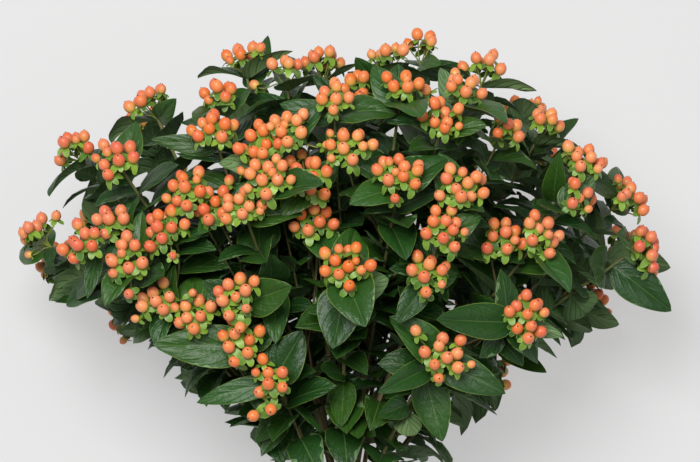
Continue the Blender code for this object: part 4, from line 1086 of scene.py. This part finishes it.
def add_calyx(piece, base, axis, radius, rng, tint):
    """Five rounded sepals under a berry, two of them larger, spread or turned back."""
    side, other = across(axis)
    turn = rng.uniform(0, ROUND)
    droop = rng.uniform(-0.35, 0.45)
    for k in range(SEPALS):
        a = turn + 2 * math.pi * k / SEPALS + rng.uniform(-0.15, 0.15)
        out = round_of(side, other, a)
        wide = np.cross(axis, out)
        scale = rng.uniform(1.0, 1.2) if k % 2 == 0 else rng.uniform(0.75, 0.95)
        scale = radius / BERRY_RADIUS * scale
        bend = droop + rng.uniform(-0.2, 0.25)
        upper, lower = [], []
        for t, share in SEPAL_OUTLINE:
            lean = 0.25 - (0.75 + bend) * t
            centre = base + out * (0.5 + SEPAL_LONG * scale * t * math.cos(0.5 * lean))
            centre = centre + axis * (SEPAL_LONG * scale * t * math.sin(lean))
            over, under = [], []
            for s in (-1, 0, 1):
                point = centre + wide * s * share * SEPAL_HALF * scale + axis * (0.45 * abs(s) * share)
                thick = 0.0 if s else 0.16
                over.append(point + axis * thick)
                under.append(point - axis * thick)
            upper.append(over)
            lower.append(under)
        shade = (between(tint[0] + rng.uniform(-0.35, 0.35)), tint[1], 0.0)
        piece.grid(np.array(upper), "sepal", shade)
        piece.grid(np.array(lower), "sepal", shade, flip=True)


def add_pedicel(piece, start, lead, end, axis, tint):
    """A thin stalk that leaves with its branch and meets the berry along its axis."""
    reach = np.linalg.norm(end - start)
    line = bezier(start, start + lead * 0.5 * reach, end - axis * 0.35 * reach, end, 6)
    piece.grid(round_tube(line, (0.8, 0.68, 0.6, 0.58, 0.62, 0.95), 5), "pedicel", tint)


# Materials
MATERIALS = {}


class Shader:
    """A material whose colour comes from small node patterns."""

    def __init__(self, name, rough, specular):
        self.made = bpy.data.materials.new(name)
        self.made.use_nodes = True
        self.tree = self.made.node_tree
        self.main = self.tree.nodes["Principled BSDF"]
        self.main.inputs["Roughness"].default_value = rough
        self.main.inputs["Specular IOR Level"].default_value = specular
        MATERIALS[name] = self.made

    def node(self, kind, **values):
        made = self.tree.nodes.new(kind)
        for key, value in values.items():
            setattr(made, key, value)
        return made

    def link(self, source, target):
        self.tree.links.new(source, target)

    def put(self, value, socket):
        """A number, a colour or another node's output into a socket."""
        if isinstance(value, tuple):
            socket.default_value = (*value, 1.0)
        elif isinstance(value, float):
            socket.default_value = value
        else:
            self.link(value, socket)

    def math(self, operation, *values):
        made = self.node("ShaderNodeMath", operation=operation)
        for socket, value in zip(made.inputs, values):
            self.put(value, socket)
        return made.outputs[0]

    def times(self, one, two):
        return self.math("MULTIPLY", one, two)

    def less(self, value):
        """One less a value."""
        return self.math("SUBTRACT", 1.0, value)

    def mix(self, share, one, two):
        made = self.node("ShaderNodeMix", data_type="RGBA")
        for number, value in ((0, share), (6, one), (7, two)):
            self.put(value, made.inputs[number])
        return made.outputs[2]

    def over(self, base, mask, share, colour):
        """A colour laid over another by a share of a mask."""
        return self.mix(self.times(mask, share), base, colour)

    def pattern(self):
        """The two directions of the pattern map."""
        source = self.node("ShaderNodeUVMap", uv_map="Pattern")
        parts = self.node("ShaderNodeSeparateXYZ")
        self.link(source.outputs[0], parts.inputs[0])
        return parts.outputs[0], parts.outputs[1]

    def tint(self):
        source = self.node("ShaderNodeAttribute", attribute_name="Tint")
        parts = self.node("ShaderNodeSeparateColor")
        self.link(source.outputs[0], parts.inputs[0])
        return parts.outputs[0], parts.outputs[1], parts.outputs[2]

    def noise(self, scale, detail=2.0, rough=0.5):
        """Soft noise through space, its scale in waves a metre."""
        place = self.node("ShaderNodeTexCoord")
        made = self.node("ShaderNodeTexNoise")
        made.inputs["Scale"].default_value = scale
        made.inputs["Detail"].default_value = detail
        made.inputs["Roughness"].default_value = rough
        self.link(place.outputs["Object"], made.inputs["Vector"])
        return made.outputs[0]

    def band(self, value, low, high):
        """0 below low and 1 above high, smooth between."""
        made = self.node("ShaderNodeMapRange", interpolation_type="SMOOTHSTEP")
        made.inputs["From Min"].default_value = low
        made.inputs["From Max"].default_value = high
        self.link(value, made.inputs["Value"])
        return made.outputs[0]

    def bump(self, height, distance):
        made = self.node("ShaderNodeBump")
        made.inputs["Strength"].default_value = 1.0
        made.inputs["Distance"].default_value = distance
        self.link(height, made.inputs["Height"])
        self.link(made.outputs[0], self.main.inputs["Normal"])

    def colour(self, source):
        self.link(source, self.main.inputs["Base Color"])


def leaf_veins(shader):
    """How far a point of a blade is out from the midrib, and masks of the midrib and side veins."""
    u, v = shader.pattern()
    out = shader.math("ABSOLUTE", shader.math("SUBTRACT", shader.times(u, 2.0), 1.0))
    rib = shader.less(shader.band(out, 0.015, 0.05))
    arch = shader.times(shader.math("POWER", out, 1.25), 0.52)
    phase = shader.times(shader.math("SUBTRACT", v, arch), 5.0)
    saw = shader.math("ABSOLUTE", shader.math("SUBTRACT", shader.math("FRACT", phase), 0.5))
    vein = shader.less(shader.band(saw, 0.01, 0.055))
    vein = shader.times(vein, shader.less(shader.band(out, 0.6, 0.9)))
    return out, rib, vein, saw


def leaf_materials():
    """Dark satin green above, pale and matt below, both with veins."""
    top = Shader("leaf_top", 0.40, 0.42)
    out, rib, vein, saw = leaf_veins(top)
    light, warm, _ = top.tint()
    green = top.mix(light, (0.007, 0.037, 0.005), (0.028, 0.100, 0.014))
    green = top.over(green, warm, 0.5, (0.044, 0.106, 0.006))
    green = top.over(green, top.band(top.noise(55.0, 3.0), 0.35, 0.7), 0.35, (0.017, 0.074, 0.010))
    green = top.over(green, vein, 0.13, (0.10, 0.17, 0.075))
    green = top.over(green, rib, 0.42, (0.15, 0.24, 0.08))
    green = top.over(green, top.band(out, 0.93, 0.985), 0.75, (0.16, 0.24, 0.035))
    top.colour(green)
    relief = top.times(top.band(saw, 0.0, 0.22), top.band(out, 0.0, 0.25))
    relief = top.times(relief, 0.35)
    relief = top.math("ADD", relief, top.times(top.noise(260.0, 4.0, 0.6), 1.1))
    top.bump(relief, 0.0008)

    under = Shader("leaf_under", 0.62, 0.3)
    out, rib, vein, saw = leaf_veins(under)
    light, _, _ = under.tint()
    pale = under.mix(light, (0.095, 0.175, 0.070), (0.20, 0.31, 0.12))
    pale = under.over(pale, under.band(under.noise(70.0, 3.0), 0.4, 0.75), 0.3, (0.10, 0.20, 0.06))
    pale = under.over(pale, vein, 0.35, (0.055, 0.13, 0.035))
    pale = under.over(pale, rib, 0.7, (0.24, 0.33, 0.12))
    under.colour(pale)
    under.bump(under.less(under.band(saw, 0.0, 0.2)), 0.0006)


def berry_materials():
    """Coral skins with a dark tip, light green sepals and their stalks."""
    berry = Shader("berry", 0.34, 0.38)
    u, v = berry.pattern()
    pink, light, young = berry.tint()
    skin = berry.mix(pink, (0.75, 0.155, 0.024), (0.68, 0.120, 0.066))
    skin = berry.over(skin, light, 0.62, (0.88, 0.37, 0.155))
    skin = berry.over(skin, berry.less(berry.band(v, 0.15, 0.75)), young, (0.74, 0.50, 0.11))
    freckle = berry.band(berry.noise(900.0, 2.0), 0.45, 0.8)
    skin = berry.over(skin, freckle, 0.14, (0.95, 0.48, 0.26))
    crease = berry.math("SUBTRACT", berry.math("FRACT", berry.times(u, 3.0)), 0.5)
    crease = berry.less(berry.band(berry.math("ABSOLUTE", crease), 0.01, 0.06))
    crease = berry.times(crease, berry.band(v, 0.74, 0.92))
    skin = berry.over(skin, crease, 0.45, (0.40, 0.075, 0.025))
    skin = berry.over(skin, berry.band(v, 0.925, 0.965), 0.9, (0.10, 0.030, 0.015))
    berry.colour(skin)

    tip = Shader("berry_tip", 0.7, 0.3)
    tip.colour(tip.mix(tip.noise(700.0), (0.05, 0.018, 0.008), (0.13, 0.055, 0.02)))

    sepal = Shader("sepal", 0.42, 0.45)
    u, v = sepal.pattern()
    light, _, _ = sepal.tint()
    green = sepal.mix(light, (0.050, 0.135, 0.022), (0.21, 0.36, 0.035))
    green = sepal.over(green, sepal.band(v, 0.5, 1.0), 0.4, (0.30, 0.40, 0.05))
    middle = sepal.math("ABSOLUTE", sepal.math("SUBTRACT", sepal.times(u, 2.0), 1.0))
    green = sepal.over(green, sepal.band(middle, 0.6, 1.0), 0.5, (0.30, 0.44, 0.08))
    foot = sepal.less(sepal.band(v, 0.0, 0.4))
    sepal.colour(sepal.over(green, foot, 0.5, (0.05, 0.14, 0.02)))

    stalk = Shader("pedicel", 0.55, 0.4)
    light, _, _ = stalk.tint()
    skin = stalk.mix(light, (0.13, 0.17, 0.035), (0.24, 0.28, 0.06))
    flush = stalk.band(stalk.noise(160.0, 3.0), 0.5, 0.72)
    stalk.colour(stalk.over(skin, flush, 0.6, (0.22, 0.13, 0.05)))


def other_materials():
    """Bark, cut wood, the rubber band and the floor."""
    bark = Shader("bark", 0.68, 0.3)
    _, v = bark.pattern()
    skin = bark.mix(bark.band(v, 0.15, 0.95), (0.20, 0.145, 0.075), (0.13, 0.15, 0.045))
    dark = bark.band(bark.noise(120.0, 4.0, 0.65), 0.48, 0.72)
    skin = bark.over(skin, dark, 0.65, (0.13, 0.065, 0.030))
    skin = bark.over(skin, bark.band(bark.noise(45.0, 2.0), 0.5, 0.75), 0.4, (0.27, 0.24, 0.13))
    bark.colour(skin)
    bark.bump(bark.noise(600.0, 4.0, 0.65), 0.0006)

    wood = Shader("cut_wood", 0.8, 0.2)
    _, v = wood.pattern()
    wood.colour(wood.mix(wood.band(v, 0.35, 0.95), (0.42, 0.36, 0.20), (0.19, 0.17, 0.07)))

    rubber = Shader("rubber", 0.62, 0.35)
    rubber.colour(rubber.mix(rubber.noise(200.0, 3.0), (0.50, 0.31, 0.15), (0.60, 0.40, 0.21)))
    rubber.bump(rubber.noise(900.0, 2.0), 0.0003)

    floor = Shader("floor", 0.9, 0.0)
    floor.colour(floor.mix(floor.noise(2.0), FLOOR_TONE, tuple(0.995 * x for x in FLOOR_TONE)))
    floor.main.inputs["Emission Color"].default_value = (1.0, 1.0, 1.0, 1.0)
    floor.main.inputs["Emission Strength"].default_value = FLOOR_GLOW


# The bunch again, from the same layout as the solids
def solid_points(node):
    """A search tree over the corners of a CAD node."""
    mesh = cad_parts[node].data
    tree = KDTree(len(mesh.vertices))
    for index, vertex in enumerate(mesh.vertices):
        tree.insert(vertex.co, index)
    tree.balance()
    return tree


def is_there(tree, point, reach):
    """Whether the solid has a corner within reach, in millimetres, of a point of the layout."""
    return tree.find(lay_down(np.array([point]))[0])[2] < reach * 0.001


def leaf_is_there(tree, leaf):
    """Whether the solid has the tip of a leaf."""
    if leaf is None:
        return False
    up = leaf_frame(leaf, 1.0)[2]
    return is_there(tree, leaf_point(leaf, 1.0, 0.0) + up * LEAF_THICKNESS / 2, 0.1)


def cluster_is_there(tree, cluster):
    """Whether the solid has the middle berry of a cluster."""
    spot = cluster["spots"][cluster["kept"][0]]
    radius = cluster["radii"][cluster["kept"][0]]
    tip = spot + unit(spot - cluster["node"]) * radius * BERRY_LONG
    return is_there(tree, tip, 2.5)


def inside_box(points, margin=0.0):
    """Whether all points are in the solids' box, give or take a margin in millimetres."""
    flat = lay_down(points)
    return np.all(flat > BOX_LOW - margin * 0.001) and np.all(flat < BOX_HIGH + margin * 0.001)


def add_wood(woods, path):
    """A stem's bark and the cut face at its foot."""
    steps = np.linspace(0, path.length, 30)
    line = [path.at(s)[0] for s in steps]
    radii = [0.92 * stem_radius(s, path.length) for s in steps]
    woods.grid(round_tube(line, radii), "bark", PLAIN)
    foot = line[0] - unit(line[1] - line[0]) * 0.05
    face = round_tube([line[0], foot, foot], (radii[0], radii[0] * 0.9, 0.0))
    woods.grid(face, "cut_wood", PLAIN, flip=True, size=(4, 4))


def add_cluster(berries, sprigs, index, cluster, room, rng):
    """The berries of a cluster, each with its calyx and pedicel, on its twig."""
    start, axis = cluster["node"], cluster["axis"]
    twig = cluster["path"]
    if twig is not None:
        line = [twig.at(s)[0] for s in np.linspace(0, twig.length, 9)]
        sprigs.grid(round_tube(line, [0.95 * TWIG_RADIUS[1]] * 9, 6), "bark", PLAIN)
    pink_here = min(1.0, 0.05 + 0.8 * abs(start[0]) / 260 + rng.uniform(-0.15, 0.3))
    light_here = rng.uniform(0.1, 0.75)
    grown = list(enumerate(zip(cluster["spots"], cluster["radii"])))
    grown += [(None, more) for more in side_berries(index, cluster, room, rng)]
    for order, (spot, radius) in grown:
        berry_axis = unit(unit(spot - start) + vec(0, BERRY_LIFT, 0) * rng.uniform(0.6, 1.3))
        ends = np.array([spot - berry_axis * radius, spot + berry_axis * radius, spot])
        if order not in cluster["kept"] and not inside_box(ends, 0.4):
            continue
        small = radius < BERRY_RADIUS * 0.9
        radius *= BERRY_FINE
        pink = between(pink_here + rng.uniform(-0.35, 0.35))
        light = between(light_here + rng.uniform(-0.35, 0.35))
        young = (0.6, 1.0) if small or rng.random() < YOUNG_SHARE else (0.0, 0.4)
        add_berry(berries, spot, berry_axis, radius, rng, (pink, light, rng.uniform(*young)))
        base = spot - berry_axis * radius * BERRY_LONG * 0.95
        shade = (rng.uniform(0.15, 1.0), rng.random(), 0.0)
        add_calyx(sprigs, base, berry_axis, radius, rng, shade)
        away = beside(spot - start, axis)
        lead = unit(axis + 0.5 * away / max(np.linalg.norm(away), 1e-6))
        add_pedicel(sprigs, start, lead, base, berry_axis, shade)


def stem_pieces(number, stem, room, rng, woods, tall):
    """The leaves, berries and sprigs of one stem, and its share of the woody stems."""
    node = f"stem_{number:02d}"
    tree = solid_points(node)
    leaves = Piece(f"{node}_leaves", ["leaf_top", "leaf_under"])
    berries = Piece(f"{node}_berries", ["berry", "berry_tip"])
    sprigs = Piece(f"{node}_sprigs", ["sepal", "pedicel", "bark"])

    def tinted(leaf, light, warm, inner=False):
        add_leaf(leaves, leaf, rng, (rng.uniform(*light), max(0.0, rng.uniform(*warm)), 0.0), inner)

    add_wood(woods, stem["path"])
    for cluster in stem["clusters"]:
        if not cluster_is_there(tree, cluster):
            continue
        add_cluster(berries, sprigs, number - 1, cluster, room, rng)
        for leaf in cluster["leaves"]:
            if leaf_is_there(tree, leaf):
                tinted(leaf, (0.1, 0.9), (-0.8, 1.0))
    for place in stem["nodes"]:
        for leaf in place["leaves"]:
            if leaf_is_there(tree, leaf):
                tinted(leaf, (0.0, 0.7), (-0.8, 1.0))
    for leaf in tall:
        tinted(leaf, (0.2, 0.8), (-0.8, 0.6))
    # The inner leaves get a darker tint than the rest: painted shade for the inside of the head
    for leaf in inner_leaves(number - 1, stem, room, rng):
        tinted(leaf, (0.0, 0.4), (-0.9, 0.8), True)
    for piece in (leaves, berries, sprigs):
        if piece.count:
            piece.make([node], "stem")


def side_berries(index, cluster, room, rng):
    """More berries on short side stalks, round and below the full ones, where there is room."""
    start, axis = cluster["node"], cluster["axis"]
    side, other = across(axis)
    wanted = rng.choice(SIDE_BERRIES)
    found = []
    for _ in range(SIDE_TRIES):
        if len(found) == wanted:
            break
        turn = rng.uniform(0, ROUND)
        reach = rng.uniform(*SIDE_REACH)
        rise = rng.uniform(*SIDE_RISE)
        spot = start + axis * rise + reach * round_of(side, other, turn)
        radius = BERRY_RADIUS * rng.choice(SIDE_SIZES)
        shape = berry_shape(start + (spot - start) * 0.35, spot, radius, CLEARANCE)
        if room.hits(shape, lambda item: True) or not above_surface(shape[0]):
            continue
        if not inside_box(shape[0], -1.0):
            continue
        room.add([Item("berry", index, cluster["id"], berry_shape(start, spot, radius))])
        found.append((spot, radius))
    return found


def twig_paths(stem):
    """The paths of a stem's twigs. Its first cluster has none, since it ends the stem."""
    return [c["path"] for c in stem["clusters"] if c["path"] is not None]


def top_starts(stems, base):
    """Where an upright leaf could grow from, on any stem or twig, nearest first."""
    found = []
    for index, stem in enumerate(stems):
        for path in [stem["path"]] + twig_paths(stem):
            for s in np.arange(5.0, path.length - 3.0, 3.0):
                spot, ahead, _ = path.at(s)
                far = np.linalg.norm((spot - base)[:2]) + 0.2 * abs(spot[2] - 5)
                if far < TOP_STRAY:
                    found.append((far, index, spot, ahead))
    found.sort(key=lambda f: f[0])
    return found[:TOP_STARTS]


def top_leaves(stems, room, rng):
    """The upright leaves behind the top clusters, each on a near stem or twig that leaves it clear."""
    found = {index: [] for index in range(len(stems))}
    for x0, y0, x1, y1, wide, side in LEAVES_SEEN[:TOP_LEAVES]:
        base, tip = [vec(*photo_spot(x, y), 0.0) for x, y in ((x0, y0), (x1, y1))]
        for _, index, spot, ahead in top_starts(stems, base):
            leaf = None
            for attempt in range(TOP_TRIES):
                leaf = top_leaf(room, index, spot, ahead, tip, wide, side, rng, 0.12 * attempt)
                if leaf is not None:
                    break
            if leaf is not None:
                room.add_leaf(index, ("top", x0), leaf)
                found[index].append(leaf)
                break
    return found


def top_leaf(room, index, spot, ahead, tip, wide, side, rng, loose):
    """One try at an upright leaf, the more freely aimed the looser it is."""
    aim = tip + vec(rng.uniform(-9, 9), rng.uniform(-12, 2), 0) * loose
    aim[2] = spot[2] + rng.uniform(-34, 24)
    out = beside(unit(aim - spot), ahead)
    if np.linalg.norm(out) < 0.2 or np.linalg.norm(aim - spot) > TOP_LONGEST:
        return None
    facing = vec(rng.uniform(-0.5, 0.5), rng.uniform(-0.3, 0.6), side)
    leaf = leaf_to(
        spot + unit(out) * 1.0, aim, facing, wide / PHOTO_SCALE * (1.04 - 0.12 * loose),
        side * rng.uniform(-0.5, 0.6), rng.uniform(0.1, 0.4), 0.0,
    )
    probe = leaf_shape(leaf, LEAF_THICKNESS + 0.3, 0.05)
    if room.hits(probe, lambda item: item.owner != index or item.kind == "berry"):
        return None
    probe = leaf_shape(leaf, LEAF_THICKNESS, 0.16)
    if room.hits(probe, lambda item: item.owner == index):
        return None
    return leaf if inside_box(probe[0]) else None


def inner_leaves(index, stem, room, rng):
    """Leaves between the larger pairs, inside the head, on the stem and on its twigs."""
    found = []
    lines = [(stem["path"], [n["s"] for n in stem["nodes"]], 22.0)]
    lines += [(path, [], 14.0) for path in twig_paths(stem)]
    for path, taken, below in lines:
        s = path.length - below
        turn = rng.uniform(0, ROUND)
        while s > 8 and path.at(s)[0][1] > LEAF_LOWEST_Y - 10:
            turn += math.pi / 2
            centre, ahead, side = path.at(s)
            halves = (1, -1) if all(abs(s - other) > 4 for other in taken) else ()
            out = round_of(side, np.cross(ahead, side), turn)
            for half in halves:
                leaf = place_leaf(
                    room, index, 5000 + int(s), centre, ahead, out * half, rng,
                    rng.uniform(*INNER_LONG), False, INNER_TRIES,
                )
                if leaf is not None and inside_box(leaf_shape(leaf, LEAF_THICKNESS, LEAF_START)[0]):
                    found.append(leaf)
            s -= rng.uniform(*INNER_APART)
    return found


def band_piece(slots):
    """A ribbed ring that follows the outline of the stems inside it."""
    band = Piece("rubber_band", ["rubber"])
    ring = []
    for k in range(BAND_STEPS + 1):
        out = round_of(vec(1, 0, 0), vec(0, 0, 1), 2 * math.pi * (k % BAND_STEPS) / BAND_STEPS)
        ring.append((out, max(np.dot(s, out) for s in slots) + (STEM_RADIUS[0] + 0.35)))
    turns = []
    for k in range(BAND_TURNS + 1):
        part = k / BAND_TURNS
        y = -BAND_HALF + 2 * BAND_HALF * part / BAND_OUTER
        thick = 0.95 + 0.75 * abs(math.sin(2.5 * math.pi * (part / BAND_OUTER)))
        if part >= BAND_OUTER:
            y = BAND_HALF - 2 * BAND_HALF * (part - BAND_OUTER) / (1 - BAND_OUTER)
            thick = 0.0
        turns.append([out * (far + thick) + vec(0, y, 0) for out, far in ring])
    turns[-1] = turns[0]
    band.grid(np.array(turns), "rubber", PLAIN, size=(150, 18))
    band.make(["band"], "rubber")


def show(name, data):
    """A new object in the scene."""
    made = bpy.data.objects.new(name, data)
    bpy.context.scene.collection.objects.link(made)
    return made


def put_camera():
    camera = bpy.data.cameras.new("camera")
    camera.sensor_width = SENSOR
    camera.lens = CAMERA_LENS
    camera.clip_end = 50.0
    spots = lay_down(np.array([CAMERA_AT] + [CAMERA_AT + step for step in np.eye(3)]))
    turned = [unit(p - spots[0]) for p in spots[1:]] + [spots[0]]
    made = show("camera", camera)
    made.matrix_world = Matrix([[column[i] for column in turned] for i in range(3)] + [[0, 0, 0, 1]])
    bpy.context.scene.camera = made


def put_light(name, at, aim, size, watts):
    """A square soft light at one point of the layout, aimed at another."""
    light = bpy.data.lights.new(name, "AREA")
    light.shape = "SQUARE"
    light.size = size
    light.energy = watts
    made = show(name, light)
    spots = lay_down(np.array([at, aim], dtype=float))
    made.location = spots[0]
    made.rotation_euler = Vector(spots[1] - spots[0]).to_track_quat("-Z", "Y").to_euler()


def put_floor():
    """A plain pale floor, lit through, under the bunch."""
    mesh = bpy.data.meshes.new("floor")
    corners = [(x * FLOOR_HALF, y * FLOOR_HALF, 0) for x, y in ((-1, -1), (1, -1), (1, 1), (-1, 1))]
    mesh.from_pydata(corners, [], [(0, 1, 2, 3)])
    mesh.materials.append(MATERIALS["floor"])
    made = show("floor", mesh)
    made.location.z = -FLOOR_DROP


def put_world():
    world = bpy.data.worlds.new("world")
    world.use_nodes = True
    back = world.node_tree.nodes["Background"]
    back.inputs["Color"].default_value = (1.0, 1.0, 0.99, 1.0)
    back.inputs["Strength"].default_value = WORLD_LIGHT
    bpy.context.scene.world = world


def main():
    leaf_materials()
    berry_materials()
    other_materials()
    rng = random.Random(7)
    stems, slots, room = bunch()
    tall = top_leaves(stems, room, random.Random(3))
    woods = Piece("woody_stems", ["bark", "cut_wood"])
    for number, stem in enumerate(stems, 1):
        stem_pieces(number, stem, room, rng, woods, tall[number - 1])
    woods.make([f"stem_{number:02d}" for number in range(1, len(stems) + 1)], "stem")
    band_piece(slots)
    put_floor()
    put_camera()
    put_world()
    for light in LIGHTS:
        put_light(*light)
    scene = bpy.context.scene
    scene.view_settings.view_transform = "Standard"
    scene.view_settings.look = "None"


main()
